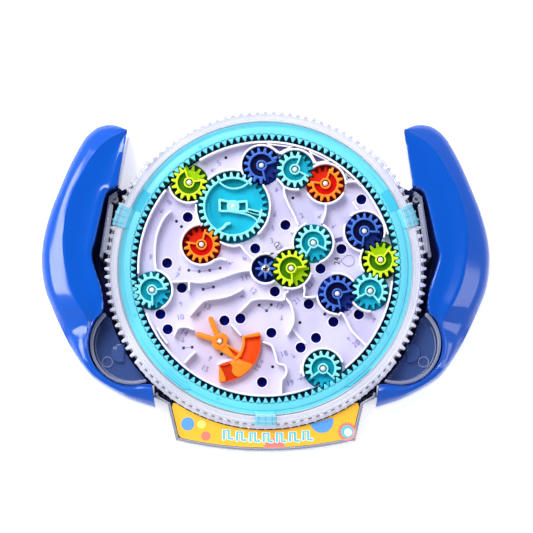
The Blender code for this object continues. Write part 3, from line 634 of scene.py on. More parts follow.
# Painted shade: a dark teal copy of the ring's cyan for the gaps between its inner teeth.
CYAN_GAP_SHADE = plastic("cyan_gap_shade", srgb(0, 84, 98), 0.5, 0.3, 60.0, 0.02, 0.05)
CLEAR_WINDOW = clear_plastic("clear_window", srgb(236, 240, 252), 0.0, 0.4, 0.15)
CLEAR_RIM = clear_plastic("clear_rim", srgb(240, 239, 250), 0.05, 0.9, 0.3)
CLEAR_LIP = clear_plastic("clear_lip", srgb(232, 232, 246), 0.55, 0.98)
CLEAR_SHELL = clear_plastic("clear_shell", srgb(214, 218, 238), 0.30, 0.95)
CLEAR_RING = clear_plastic("clear_ring", srgb(238, 237, 249), 0.9, 0.98)
CLEAR_DISH = clear_plastic("clear_dish", srgb(88, 118, 190), 0.40, 0.9)
LEVER_ORANGE = plastic("lever_orange", srgb(252, 134, 34), 0.28, 0.15, 90.0, 0.02, 0.15)
# Painted shade: darker, redder copies of the lever's orange for the tray, slot and low lips, and darker
# still for the tray's corner.
LEVER_SHADED_ORANGE = plastic("lever_shaded_orange", srgb(250, 84, 22), 0.3, 0.3, 70.0, 0.02, 0.1)
LEVER_DARK_SHADE = plastic("lever_dark_shade", srgb(206, 58, 16), 0.3, 0.3, 70.0, 0.02, 0.1)
STEEL = polished_steel()
# Rim in each gear's own colour; recess, floor and pocket are painted-shade copies of it.
GEAR_FINISHES = {
    "lime": gear_finish("lime", (214, 236, 40), (62, 122, 0), (170, 212, 0), (24, 74, 6)),
    "cyan": gear_finish("cyan", (142, 232, 236), (0, 146, 166), (22, 182, 210), (0, 112, 132)),
    "orange": gear_finish("orange", (252, 140, 30), (205, 8, 0), (214, 34, 0), (150, 14, 8)),
    "navy": gear_finish("navy", (62, 108, 202), (2, 8, 62), (20, 46, 128), (8, 30, 112)),
}


# ---------------------------------------------------------------- gear train

def gear_centres():
    centres = {"ring": (0.0, 0.0), "centre_pinion": (0.0, 0.0)}
    for joint in frame["record"]["behaviour"]["joints"]:
        if joint["child"].startswith("gear_"):
            centres[joint["child"]] = tuple(joint["pos_m"][:2])
    return centres


def gear_phases(centres):
    """Angle of one tooth of every gear, in degrees, that puts it in mesh with its driver."""
    phases = {"ring": RING_PHASE, "centre_pinion": 0.0}
    counts = {"ring": RING_TEETH, "centre_pinion": PINION_TEETH}
    for name, driver, teeth, _notch, _finish in GEARS:
        own, other = centres[name], centres[driver]
        direction = math.degrees(math.atan2(own[1] - other[1], own[0] - other[0]))
        part = ((direction - phases[driver]) * counts[driver] / 360) % 1
        pitch = 360 / teeth
        if driver == "ring":
            phases[name] = direction - part * pitch
        else:
            phases[name] = direction + 180 - (0.5 - part) * pitch
        counts[name] = teeth
    return phases


def upper_teeth(phase, teeth, notch):
    """First angle and count of the teeth that stand full height, outside the notch."""
    pitch = 360 / teeth
    past = sorted((phase + i * pitch - notch[1]) % 360 for i in range(teeth))
    kept = [angle for angle in past if pitch * 0.2 < angle < 360 - (notch[1] - notch[0]) - pitch * 0.2]
    return notch[1] + kept[0], len(kept)


def small_gear(name, centre, phase, notch, finish):
    """A 15-tooth gear with a C-shaped recess and an open notch that carries the ball."""
    rim, recess, floor = finish["rim"], finish["recess"], finish["floor"]
    first, count = upper_teeth(phase, 15, notch)
    around = (notch[1], notch[0] + 360)
    low, high = FLOOR_Z
    tooth = finger(6.9 * MM, 9.9 * MM, 2.1 * MM, 1.3 * MM)
    step = 0.4 * MM
    parts = [
        # The lower tooth disc and the recess carry painted shade; the rim and upper teeth the gear's own
        # colour.
        (prism([circle((0, 0), 7.2 * MM, 48), circle((0, 0), BORE_R, 24)], low, high), floor),
        (round_copies(prism([tooth], low, high, 0.15 * MM), 15, phase, 24, floor), floor),
        (round_copies(prism([tooth], high, TOOTH_TOP, 0.22 * MM), count, first, 24, rim), rim),
        (prism([sector(6.25 * MM, 7.35 * MM, *around)], high - step, GEAR_TOP, 0.22 * MM), rim),
        (prism([sector(2.7 * MM, 6.5 * MM, *around)], high - step, 19.4 * MM), recess),
        (prism([circle((0, 0), 2.95 * MM, 32), circle((0, 0), 2.05 * MM, 24)], high - step, GEAR_TOP,
               0.2 * MM), rim),
    ]
    for angle in notch:
        spoke = strip([polar((0, 0), 2.6 * MM, angle), polar((0, 0), 8.0 * MM, angle)], 0.95 * MM)
        parts.append((prism([spoke], high - step, TOOTH_TOP, 0.2 * MM), rim))
    for mesh, _finish in parts:
        moved(mesh, centre)
    return assemble(name + "_detail", name, parts, (name,))


def labyrinth_gear(name, centre, phase, notch, finish):
    """The big 30-tooth gear, with a small labyrinth of walls inside its rim."""
    rim, recess, floor = finish["rim"], finish["recess"], finish["floor"]
    first, count = upper_teeth(phase, 30, notch)
    around = (notch[1], notch[0] + 360)
    low, high = FLOOR_Z
    step = 0.4 * MM
    tooth = finger(15.9 * MM, 18.9 * MM, 2.1 * MM, 1.3 * MM)
    hub = flowing(in_mm([(-8.0, 3.2), (-7.4, 4.3), (-2.6, 3.3), (0, 3.5), (2.6, 3.1), (7.0, 3.5), (8.0, 2.6),
                         (8.2, -2.0), (7.4, -3.3), (2.4, -3.3), (0, -3.4), (-2.6, -3.0), (-6.9, -3.0),
                         (-7.9, -2.2)]), 2)
    left_cell = in_mm([(-6.7, 2.9), (-3.1, 2.2), (-3.5, 0.2), (-3.1, -1.9), (-6.6, -1.9)])
    right_cell = in_mm([(3.2, 1.9), (6.8, 2.3), (7.0, -1.9), (3.2, -2.2), (3.5, 0)])
    arm = in_mm([(8.0, -0.9), (15.6, -2.6), (15.2, -5.3), (7.8, -3.2)])
    arm_cell = in_mm([(8.6, -1.9), (14.2, -3.2), (14.0, -4.5), (8.5, -3.0)])
    lens = arc((0.6 * MM, 20.4 * MM), 10.6 * MM, 217, 318, 14)
    lens_floor = lens + arc((0, 0), 15.4 * MM, 61, 117, 10)
    sweep = flowing(in_mm([(1.0, -3.2), (6.5, -4.0), (11.2, -5.9), (14.2, -8.6)]))
    hook = flowing(in_mm([(-8.4, -13.4), (-6.0, -12.0), (-4.4, -10.6), (-3.6, -9.6), (-1.9, -9.2)]))
    shelf = sector(12.6 * MM, 15.5 * MM, 170, 262, 14)
    parts = [
        # The lower disc, recess floors and shelf carry painted shade; the rim and walls the gear's own
        # colour.
        (prism([circle((0, 0), 16.2 * MM, 72), circle((0, 0), BORE_R, 24)], low, high), floor),
        (round_copies(prism([tooth], low, high, 0.15 * MM), 30, phase, 12, floor), floor),
        (round_copies(prism([tooth], high, TOOTH_TOP, 0.22 * MM), count, first, 12, rim), rim),
        (prism([sector(15.2 * MM, 16.3 * MM, *around, 60)], high - step, GEAR_TOP, 0.25 * MM), rim),
        (prism([hub, left_cell, right_cell], high - step, GEAR_TOP, 0.22 * MM), rim),
        (prism([in_mm([(-7.0, 3.1), (7.1, 2.6), (7.2, -2.5), (-6.9, -2.2)]), circle((0, 0), BORE_R, 24)],
               high - step, 18.4 * MM), recess),
        (prism([arm, arm_cell], high - step, TOOTH_TOP, 0.18 * MM), rim),
        (prism([arm_cell], high - step, 18.4 * MM), recess),
        (prism([strip(lens, 0.9 * MM)], high - step, GEAR_TOP, 0.2 * MM), rim),
        (prism([lens_floor], high - step, 18.0 * MM), recess),
        (prism([strip(sweep, 0.8 * MM)], high - step, TOOTH_TOP, 0.2 * MM), rim),
        (prism([strip(hook, 1.5 * MM)], high - step, TOOTH_TOP, 0.3 * MM), rim),
        (prism([shelf], high - step, 18.9 * MM, 0.5 * MM), floor),
    ]
    for mesh, _finish in parts:
        moved(mesh, centre)
    return assemble(name + "_detail", name, parts, (name,))


def centre_pinion(navy):
    """Star-shaped 8-tooth pinion on the drum's axis, held by a cross-head screw."""
    tooth = finger(2.2 * MM, 5.6 * MM, 1.6 * MM, 0.95 * MM)
    parts = [
        # The pinion's core carries the navy painted-shade floor colour.
        (prism([circle((0, 0), 3.4 * MM, 32)], 16.3 * MM, 21.2 * MM, 0.3 * MM), navy["floor"]),
        (round_copies(prism([tooth], 16.3 * MM, 22.0 * MM, 0.2 * MM), PINION_TEETH, 0, 45, navy["rim"]),
         navy["rim"]),
    ]
    assemble("centre_pinion_detail", "drum", parts, ("centre_pinion",))
    screw_head("pinion_screw_detail", "drum", (0, 0), 22.3 * MM, 23.4 * MM, 2.3 * MM, ("pinion_screw",))


def screw_head(name, body, place, low, high, radius, replaces, shank_tip=None, facing=1):
    """Domed screw head with a thin black cross on top as the painted shade of its cross recess, and its
    shank where there is one.
    """
    dome = turned([(0, low), (radius, low), (radius, low + 0.3 * (high - low)),
                   (0.8 * radius, low + 0.8 * (high - low)),
                   (0.45 * radius, high), (0, high)], 32)
    bar = [(-0.62 * radius, -0.14 * radius), (0.62 * radius, -0.14 * radius),
           (0.62 * radius, 0.14 * radius), (-0.62 * radius, 0.14 * radius)]
    # Painted shade: a thin black cross on the dome stands for the dark cross recess.
    cross = [prism([bar], high - 0.02 * MM, high + 0.03 * MM) for _ in range(2)]
    moved(cross[1], degrees=90)
    parts = [(dome, STEEL), (cross[0], BLACK_DOT), (cross[1], BLACK_DOT)]
    if facing < 0:
        middle = low + high
        for mesh, _finish in parts:
            mesh.transform(Matrix.Translation((0, 0, middle)) @ Matrix.Rotation(math.pi, 4, "X"))
    if shank_tip is not None:
        near = low if facing > 0 else high
        ends = sorted((near, shank_tip))
        parts.append((turned([(0, ends[0]), (0.8 * MM, ends[0]), (0.8 * MM, ends[1]), (0, ends[1])], 16),
                      STEEL))
    for mesh, _finish in parts:
        moved(mesh, place)
    return assemble(name, body, parts, replaces)


# ---------------------------------------------------------------- drum

def ring_gear():
    """Cyan ring with 120 pointed inner teeth, a stepped rim and three tabs."""
    low, high = RING_Z
    body = turned([(73.5 * MM, low), (80.0 * MM, low), (80.0 * MM, 22.3 * MM), (79.8 * MM, 22.5 * MM),
                   (77.9 * MM, 22.5 * MM), (77.6 * MM, 23.0 * MM), (77.4 * MM, high), (73.5 * MM, high)],
                  240, ring=True)
    tooth = [(74.0 * MM, -1.75 * MM), (71.2 * MM, -0.5 * MM), (70.8 * MM, -0.2 * MM), (70.8 * MM, 0.2 * MM),
             (71.2 * MM, 0.5 * MM), (74.0 * MM, 1.75 * MM)]
    half_pitch = 180 / RING_TEETH
    teeth = round_copies(prism([tooth], low, high, 0.15 * MM), RING_TEETH, RING_PHASE + half_pitch,
                         2 * half_pitch, CYAN_RING)
    # Painted shade: a thin web at the foot of the teeth, dark teal where the gaps between the teeth lie in
    # shade.
    web = turned([(70.75 * MM, low), (74.0 * MM, low), (74.0 * MM, low + 0.5 * MM),
                  (70.75 * MM, low + 0.5 * MM)],
                 160, ring=True)
    parts = [(body, CYAN_RING), (teeth, CYAN_RING), (web, CYAN_GAP_SHADE)]
    for middle in (160, 20, 270):
        parts.append((prism([sector(78.2 * MM, 87.2 * MM, middle - 4, middle + 4, 6)], 21.9 * MM, high,
                            0.3 * MM), CYAN_RING))
        for edge in (-2.6, 0, 2.6):
            parts.append((prism([sector(80.4 * MM, 86.8 * MM, middle + edge - 0.25, middle + edge + 0.25,
                                        2)],
                                high - 0.05 * MM, high + 0.12 * MM), CYAN_STEP))
    for start, end in ((147, 156), (24, 33)):
        parts.append((prism([sector(74.6 * MM, 79.6 * MM, start, end, 10)], high - 0.1 * MM,
                            high + 0.04 * MM),
                      CYAN_STEP))
    for angle in (118, 200, 332, 250):
        parts.append((prism([circle(polar((0, 0), 75.6 * MM, angle), 0.9 * MM, 20),
                             circle(polar((0, 0), 75.6 * MM, angle), 0.55 * MM, 20)],
                            high - 0.1 * MM, high + 0.08 * MM), CYAN_STEP))
    for start, turn in ((226, 1), (316, -1)):
        for radius in (76.2, 79.0):
            shaft = arc((0, 0), radius * MM, start, start + turn * 9, 8)
            parts.append((prism([strip(shaft, 0.35 * MM)], high - 0.7 * MM, high + 0.05 * MM), CYAN_STEP))
        head = [polar((0, 0), 75.2 * MM, start + turn * 9), polar((0, 0), 77.6 * MM, start + turn * 12.5),
                polar((0, 0), 80.0 * MM, start + turn * 9)]
        parts.append((prism([strip(head, 0.4 * MM)], high - 0.7 * MM, high + 0.05 * MM), CYAN_STEP))
    return assemble("ring_gear_detail", "drum", parts, ("ring_gear",))


def thumb_ring():
    """Clear ring with 120 grip teeth round its rim and a flange under the cyan ring."""
    body = turned([(80.7 * MM, 9.6 * MM), (85.0 * MM, 9.6 * MM), (85.0 * MM, 21.2 * MM),
                   (84.6 * MM, 21.6 * MM),
                   (81.1 * MM, 21.6 * MM), (80.7 * MM, 21.2 * MM)], 240, ring=True)
    flange = turned([(75.0 * MM, 13.7 * MM), (82.0 * MM, 13.7 * MM), (82.0 * MM, 15.6 * MM),
                     (75.0 * MM, 15.6 * MM)], 160, ring=True)
    tooth = finger(84.8 * MM, 88.0 * MM, 2.7 * MM, 1.5 * MM)
    teeth = round_copies(prism([tooth], 9.7 * MM, 21.4 * MM, 0.3 * MM), RING_TEETH, 0, 360 / RING_TEETH,
                         CLEAR_RING)
    parts = [(body, CLEAR_RING), (flange, CLEAR_RING), (teeth, CLEAR_RING)]
    return assemble("thumb_ring_detail", "drum", parts, ("thumb_ring",))


# ---------------------------------------------------------------- maze plate

def pocket_radius(teeth):
    return BIG_POCKET_R if teeth == 30 else POCKET_R


def clipped(points, limit):
    """Pull an outline's points in to a largest distance from the axis."""
    kept = []
    for x, y in points:
        far = math.hypot(x, y)
        share = min(1.0, limit / far)
        kept.append((x * share, y * share))
    return kept


def pocket_parts(centres):
    """Floors painted in shadow under the gears, and the posts that the gears turn on."""
    parts = []
    for i, (name, _driver, teeth, _notch, finish) in enumerate(GEARS):
        centre = centres[name]
        # Painted shadow in each gear's pocket.
        floor = clipped(circle(centre, pocket_radius(teeth), 56), 69.6 * MM)
        lift = i * 0.008 * MM
        parts.append((prism([floor], POCKET_Z[0], POCKET_Z[1] + lift), GEAR_FINISHES[finish]["pocket"]))
        # Posts in the plate's lighter copy, a painted highlight.
        parts.append((post(centre), PLATE_HIGHLIT))
    # Painted shadow in the well round the centre pinion.
    parts.append((prism([circle((0, 0), 7.6 * MM, 40), circle((0, 0), 4.6 * MM, 24)], *POCKET_Z),
                  GEAR_FINISHES["navy"]["pocket"]))
    return parts


def post(centre):
    """A white post with a domed tip."""
    return turned([(0, 15.0 * MM), (POST_R, 15.0 * MM), (POST_R, POST_TOP - 2.2 * MM),
                   (1.15 * MM, POST_TOP - 1.1 * MM),
                   (0.8 * MM, POST_TOP - 0.3 * MM), (0.4 * MM, POST_TOP), (0, POST_TOP)], 24, centre)


def wall_parts(centres):
    """Walls round the gears, walls of the tracks and the broken rim."""
    low = PLATE_Z[1] - 0.3 * MM
    teeth = {row[0]: row[2] for row in GEARS}
    lines = []
    for name, start, end in POCKET_WALLS:
        radius = pocket_radius(teeth[name]) + WALL_T / 2
        lines.append(arc(centres[name], radius, start, end, max(6, abs(end - start) // 8)))
    lines += [flowing(in_mm(line)) for line in TRACK_WALLS]
    lines.append(arc((0, 0), 8.2 * MM, 75, 305, 28))
    for start, end in RIM_ARCS:
        lines.append(arc((0, 0), PLATE_R - WALL_T / 2, start, end, max(4, (end - start) // 4)))
    # Walls in the plate's lighter copy: painted highlight on their lit tops.
    walls = [(prism([strip(line, WALL_T)], low, WALL_TOP, 0.28 * MM), PLATE_HIGHLIT) for line in lines]
    walls += [(prism([strip(flowing(in_mm(line)), 1.4 * MM)], low, 17.4 * MM, 0.4 * MM), PLATE_HIGHLIT)
              for line in LOW_STEPS]
    return walls


def land_parts():
    """Raised lands between the gears and the rim, each with a three-cornered recess whose floor is painted
    dark as shade.
    """
    parts = []
    for corners in TRIANGLES:
        middle = [sum(p[i] for p in corners) / 3 for i in (0, 1)]
        hole = in_mm(corners)
        outer = in_mm([(middle[0] + (x - middle[0]) * 1.45, middle[1] + (y - middle[1]) * 1.6)
                       for x, y in corners])
        outer = clipped(outer, 69.6 * MM)
        # The land in the plate's lighter copy, a painted highlight.
        parts.append((prism([outer, hole], PLATE_Z[1] - 0.3 * MM, WALL_TOP - 0.1 * MM, 0.1 * MM),
                      PLATE_HIGHLIT))
        # The recess floor is painted dark as shade.
        parts.append((prism([hole], PLATE_Z[1] - 0.3 * MM, 19.0 * MM), PLATE_PAINTED_SHADE))
    return parts


def mark_parts():
    """Track numbers, arrows, dots and the lines that join them."""
    low = PLATE_Z[1] - 0.05 * MM
    parts = [(lettering(text, 4.3 * MM, 0.35 * MM, (x * MM, y * MM), turn, low), PLATE_RELIEF)
             for text, x, y, turn in NUMBERS]
    parts.append((lettering(24, 4.4 * MM, 0.3 * MM, (39.2 * MM, 4.6 * MM), 90, low), BLACK_DOT))
    for x, y, turn in ARROWS:
        place = (x * MM, y * MM)
        shaft = [(-1.3 * MM, 0), (1.1 * MM, 0)]
        head = [(0.4 * MM, 0.8 * MM), (1.4 * MM, 0), (0.4 * MM, -0.8 * MM)]
        for line in (shaft, head):
            mesh = prism([strip(line, 0.32 * MM)], low, low + 0.3 * MM)
            parts.append((moved(mesh, place, turn), PLATE_RELIEF))
    dots = list(DOTS) + [dot for chain in DOT_CHAINS for dot in chain]
    for x, y in dots:
        parts.append((prism([circle((x * MM, y * MM), 0.85 * MM, 16)], low, low + 0.14 * MM), BLACK_DOT))
    drop = flowing(in_mm([(41.2, 4.6), (44.2, 7.4), (47.2, 7.4), (48.6, 4.8), (47.2, 2.2), (44.2, 2.0),
                          (41.2, 4.6)]), 3)
    parts.append((prism([strip(drop, 0.4 * MM)], low, low + 0.3 * MM), PLATE_RELIEF))
    mark = flowing(in_mm([(-1.2, 9.3), (0.2, 8.5), (2.2, 8.4), (4.2, 8.9)]), 3)
    parts.append((prism([strip(mark, 0.7 * MM)], low, low + 0.2 * MM), BLACK_DOT))
    # A flat dark patch painted as the shade in a slot.
    slot = in_mm([(37.9, 16.9), (42.0, 18.0), (42.4, 15.6), (38.5, 14.8)])
    parts.append((prism([slot], low, low + 0.2 * MM), PLATE_PAINTED_SHADE))
    for chain in DOT_CHAINS:
        for a, b in zip(chain, chain[1:]):
            parts.append((prism([strip(in_mm([a, b]), 0.3 * MM)], low, low + 0.25 * MM), PLATE_RELIEF))
    return parts


def maze_plate(centres):
    holes = [circle((x * MM, y * MM), HOLE_R, 28) for x, y in BALL_HOLES]
    plate = prism([circle((0, 0), PLATE_R, 160), circle((0, 0), 4.6 * MM, 32)] + holes, *PLATE_Z)
    parts = [(plate, PLATE_WHITE)]
    low = PLATE_Z[1] - 0.2 * MM
    for x, y in BALL_HOLES:
        lip = [circle((x * MM, y * MM), HOLE_R + 0.6 * MM, 28), circle((x * MM, y * MM), HOLE_R, 28)]
        # Hole lips in the plate's lighter copy, a painted highlight.
        parts.append((prism(lip, low, low + 0.45 * MM, 0.12 * MM), PLATE_HIGHLIT))
    parts += pocket_parts(centres) + wall_parts(centres) + land_parts() + mark_parts()
    parts.append((post((-24.9 * MM, -39.7 * MM)), PLATE_HIGHLIT))
    return assemble("maze_plate_detail", "case", parts, ("maze_plate",))


# ---------------------------------------------------------------- clear covers and case

def front_cover():
    """Clear window with a raised rim of fine steps, and the two wings."""
    window = turned([(0, 24.0 * MM), (80.0 * MM, 24.0 * MM), (80.0 * MM, 26.0 * MM), (0, 26.0 * MM)], 160)
    rim = turned([
        (79.9 * MM, 24.0 * MM), (84.2 * MM, 24.0 * MM), (84.4 * MM, 23.4 * MM), (86.0 * MM, 23.4 * MM),
                  (86.0 * MM, 27.4 * MM), (85.4 * MM, 28.1 * MM),
        (84.6 * MM, 28.4 * MM), (83.9 * MM, 28.4 * MM), (83.7 * MM, 28.1 * MM), (83.1 * MM, 28.1 * MM),
        (82.9 * MM, 28.4 * MM), (81.3 * MM, 28.4 * MM), (80.9 * MM, 27.6 * MM), (80.5 * MM, 27.5 * MM),
        (79.9 * MM, 26.1 * MM)], 240, ring=True)
    edge = in_mm([(-79.7, 42.9), (-85.2, 39.6), (-90.4, 6.0)])
    wing = [(-71.0 * MM, 45.6 * MM)] + edge + [(-84.9 * MM, -0.6 * MM)]
    wing += arc((0, 0), 84.9 * MM, 178, 149, 12)
    wall = strip(in_mm([(-81.6, 41.0), (-84.5, 38.9), (-89.5, 6.6)]), 1.6 * MM)
    inner = strip(in_mm([(-84.2, 34.0), (-87.6, 9.6)]), 2.4 * MM)
    parts = [(window, CLEAR_WINDOW), (rim, CLEAR_RIM)]
    for start, end in ((216, 324), (40, 140)):
        lip = sector(85.9 * MM, 87.7 * MM, start, end, 60)
        parts.append((prism([lip], 24.2 * MM, 25.2 * MM, 0.2 * MM), CLEAR_LIP))
    for side in (False, True):
        parts.append((moved(prism([wing], 23.4 * MM, 25.4 * MM, 0.3 * MM), mirror=side), CLEAR_WINDOW))
        parts.append((moved(prism([wall], CASE_TOP + 0.3 * MM, 25.0 * MM), mirror=side), CLEAR_SHELL))
        parts.append((moved(prism([inner], 25.3 * MM, 25.9 * MM, 0.2 * MM), mirror=side), CLEAR_SHELL))
        boss = turned([(1.0 * MM, CASE_TOP + 0.6 * MM), (1.9 * MM, CASE_TOP + 0.6 * MM),
                       (1.9 * MM, 24.0 * MM),
                       (1.0 * MM, 24.0 * MM)], 24, (-82.2 * MM, 37.8 * MM), ring=True)
        parts.append((moved(boss, mirror=side), CLEAR_SHELL))
    return assemble("front_cover_detail", "case", parts, ("front_cover",), sharp=25)


def case_outline():
    half = arc((0, 0), 86 * MM, 91, 147, 24)
    half += in_mm([(-80.0, 43.4), (-85.9, 40.0), (-89.2, 28.4), (-92.8, 11.8), (-94.0, 7.5), (-91.8, -1.8),
                   (-88.2, -12.0)])
    half += arc(WELL_CENTRE, WELL_R, 128, 296, 28)
    half += in_mm([(-60.9, -63.0), (-60.8, -69.3), (-53.7, -72.9), (-49.1, -93.0)])
    half += arc((0, 107 * MM), 206.2 * MM, -103.5, -91, 8)
    return half + mirrored(half)


def rear_case():
    """Navy back tray: floor, side wall, bearing, stiffening rings and finger ribs on the back."""
    outline = case_outline()
    shape = bmesh.new()
    tray = prism([outline], BACK_FLOOR, CASE_TOP, 0.0)
    shape.from_mesh(tray)
    bpy.data.meshes.remove(tray)
    lid = [f for f in shape.faces if all(v.co.z > CASE_TOP - 0.01 * MM for v in f.verts)]
    bmesh.ops.delete(shape, geom=lid, context="FACES_ONLY")
    mesh = cleaned(shape)
    holder = bpy.data.objects.new("tray", mesh)
    bpy.context.scene.collection.objects.link(holder)
    solid = holder.modifiers.new("walls", "SOLIDIFY")
    solid.thickness = 2.0 * MM
    solid.offset = -1
    solid.use_even_offset = True
    walls = evaluated_mesh(holder)
    bearing = turned([(0, 9.5 * MM), (2.7 * MM, 9.5 * MM), (2.7 * MM, 5.7 * MM), (6.0 * MM, 5.7 * MM),
                      (6.0 * MM, 1.0 * MM), (0, 1.0 * MM)], 48)
    parts = [(walls, NAVY_CASE), (bearing, NAVY_CASE)]
    border = [(x * BACK_BORDER, y * BACK_BORDER) for x, y in outline]
    parts.append((prism([outline, border], 0, BACK_RELIEF_TOP, 0.25 * MM), NAVY_CASE))
    for radius in BACK_RINGS:
        ring = [circle((0, 0), radius * MM, 96), circle((0, 0), (radius - BACK_RING_WIDTH) * MM, 96)]
        parts.append((prism(ring, 0, BACK_RELIEF_TOP, 0.25 * MM), NAVY_CASE))
    for x, y in FEET:
        parts.append((prism([circle((x * MM, y * MM), 5 * MM, 32)], 0, BACK_RELIEF_TOP, 0.3 * MM),
                      BLACK_DOT))
    for angle in range(0, 360, 45):
        rib = strip([polar((0, 0), 31 * MM, angle), polar((0, 0), 55 * MM, angle)], 1.4 * MM)
        parts.append((prism([rib], 0.2 * MM, BACK_RELIEF_TOP, 0.2 * MM), NAVY_CASE))
    seam = in_mm([(-80.4, 43.6), (-86.9, 40.4), (-90.2, 28.4), (-93.8, 11.8), (-95.0, 7.5), (-92.8, -1.8),
                  (-89.4, -12.0)])
    seam += arc(WELL_CENTRE, WELL_R + 0.8 * MM, 128, 296, 28)
    for side in (False, True):
        parts.append((moved(prism([strip(seam, 3.0 * MM)], 0.6 * MM, CASE_TOP), mirror=side), NAVY_CASE))
    for radius in (22, 45, 68):
        parts.append((turned([((radius - 0.6) * MM, 1.8 * MM), ((radius + 0.6) * MM, 1.8 * MM),
                              ((radius + 0.6) * MM, 4.2 * MM), ((radius - 0.6) * MM, 4.2 * MM)], 120,
                             ring=True),
                      NAVY_CASE))
    return assemble("rear_case_detail", "case", parts, ("rear_case",), sharp=30)


def label():
    """Clear cap under the disc, and the printed card with its coloured shapes."""
    foot = arc((0, 107 * MM), 205.7 * MM, -103.4, -91, 8)
    sides = in_mm([(-59.2, -68.6), (-59.0, -70.2), (-52.6, -73.8), (-48.2, -92.2)]) + foot
    walls = strip(sides + mirrored(sides), 1.6 * MM)
    top_wall = sector(88.8 * MM, 89.5 * MM, 229, 311, 60)
    inner = arc((0, 0), 89.4 * MM, 268, 236.4, 20)
    inner += in_mm([(-50.6, -75.6), (-50.9, -77.6), (-47.6, -91.6)])
    inner += arc((0, 107 * MM), 204.9 * MM, -103.2, -91, 8)
    window = inner + mirrored(inner)
    parts = [
        (prism([walls], 9.6 * MM, 25.0 * MM, 0.4 * MM), CLEAR_SHELL),
        (prism([top_wall], 9.6 * MM, 24.6 * MM), CLEAR_WINDOW),
        (prism([window], 23.6 * MM, 24.6 * MM, 0.1 * MM), CLEAR_WINDOW),
    ]
    assemble("label_cover_detail", "case", parts, ("label_cover",), sharp=25)

    card_half = arc((0, 0), 88.2 * MM, 268, 236.2, 18)
    card_half += in_mm([(-50.3, -73.6), (-50.9, -75.6), (-47.4, -90.4), (-46.6, -91.6)])
    card_half += arc((0, 107 * MM), 204.6 * MM, -103.0, -91, 8)
    inks = {name: plastic("ink_" + name, srgb(*rgb), 0.45, 0.1, 60.0, 0.05) for name, rgb in (
        ("yellow", (252, 190, 52)), ("gold", (255, 178, 50)), ("coral", (250, 128, 112)),
        ("blue", (92, 160, 240)), ("cream", (255, 230, 120)), ("teal", (96, 200, 214)),
        ("white", (248, 248, 250)))}
    top = CARD_Z[1]
    shapes = [
        ("blue", circle((-42.3 * MM, -84.8 * MM), 3.6 * MM)),
        ("cream", circle((-34.8 * MM, -85.1 * MM), 2.3 * MM)),
        ("coral", circle((-32.4 * MM, -91.4 * MM), 2.5 * MM)),
        ("gold", arc((0, 0), 88.4 * MM, 263, 279, 10) + in_mm([(16.5, -94.0), (-4.0, -94.6)])),
        ("coral", in_mm([(-1.2, -97.9), (1.4, -93.8), (4.8, -92.4), (8.6, -93.7), (10.9, -97.6)])),
        ("blue", arc((30.6 * MM, -83.4 * MM), 6.3 * MM, 193, 378, 20)),
        ("coral", gear_print((44.4 * MM, -89.0 * MM), 5.2 * MM)),
        ("teal", circle((44.4 * MM, -89.0 * MM), 3.4 * MM)),
        ("white", circle((44.9 * MM, -89.4 * MM), 2.1 * MM)),
    ]
    shapes += ([("white", line) for line in meander(2.2 * MM)] +
               [("teal", line) for line in meander(1.3 * MM)])
    parts = [(prism([card_half + mirrored(card_half)], *CARD_Z), inks["yellow"])]
    for i, (ink, outline) in enumerate(shapes):
        parts.append((prism([outline], top - 0.05 * MM, top + (0.04 + 0.012 * i) * MM), inks[ink]))
    assemble("label_card_detail", "case", parts, ("label_card",))


def gear_print(centre, radius):
    """Outline of a printed cog."""
    points = []
    for i in range(18):
        for share, offset in ((0.88, -0.3), (1.0, -0.2), (1.0, 0.2), (0.88, 0.3)):
            points.append(polar(centre, radius * share, 20 * (i + offset)))
    return points


def meander(width):
    """A plain maze-path pattern across the card: square waves that follow its curve."""
    lines = []
    for i in range(7):
        x = -22.6 + i * 7.2
        y = -92.3 + 0.0028 * (x - 1.0) ** 2
        wave = [(x, y - 2.1), (x, y + 2.3), (x + 2.6, y + 2.3), (x + 2.6, y - 2.1), (x + 4.6, y - 2.1)]
        lines.append(strip(in_mm(wave), width))
    return lines


def thumb_well(side_name, right):
    """Clear half-round dish with a curved floor, a raised thumb rest and a ring boss."""
    low = CASE_TOP + 0.3 * MM
    floor = arc(WELL_CENTRE, WELL_R, 131.5, 291, 40) + arc((0, 0), 88.8 * MM, 223.5, 197.5, 16)
    rest = arc((-79.4 * MM, -45.6 * MM), 5.2 * MM, 60, 290, 20)
    wall = strip(arc(WELL_CENTRE, WELL_R - 0.8 * MM, 132.5, 290, 40), 1.6 * MM)
    bead = sector(WELL_R - 2.9 * MM, WELL_R - 2.3 * MM, 150, 285, 40, WELL_CENTRE)
    ring = [circle((-86.4 * MM, -50.5 * MM), 3.0 * MM, 28), circle((-86.4 * MM, -50.5 * MM), 2.5 * MM, 28)]
    parts = [
        (prism([floor], low, low + 1.6 * MM, 0.2 * MM), CLEAR_DISH),
        (prism([wall], low + 0.4 * MM, WELL_TOP, 0.4 * MM), CLEAR_SHELL),
        (prism([bead], low + 1.2 * MM, low + 2.6 * MM), CLEAR_SHELL),
        (prism([rest], low + 1.2 * MM, low + 3.4 * MM, 0.4 * MM), CLEAR_DISH),
        (prism(ring, low + 1.2 * MM, low + 2.6 * MM, 0.1 * MM), CLEAR_SHELL),
    ]
    for mesh, _finish in parts:
        moved(mesh, mirror=right)
    name = "thumb_well_" + side_name
    return assemble(name + "_detail", "case", parts, (name,), sharp=30)


# ---------------------------------------------------------------- grips

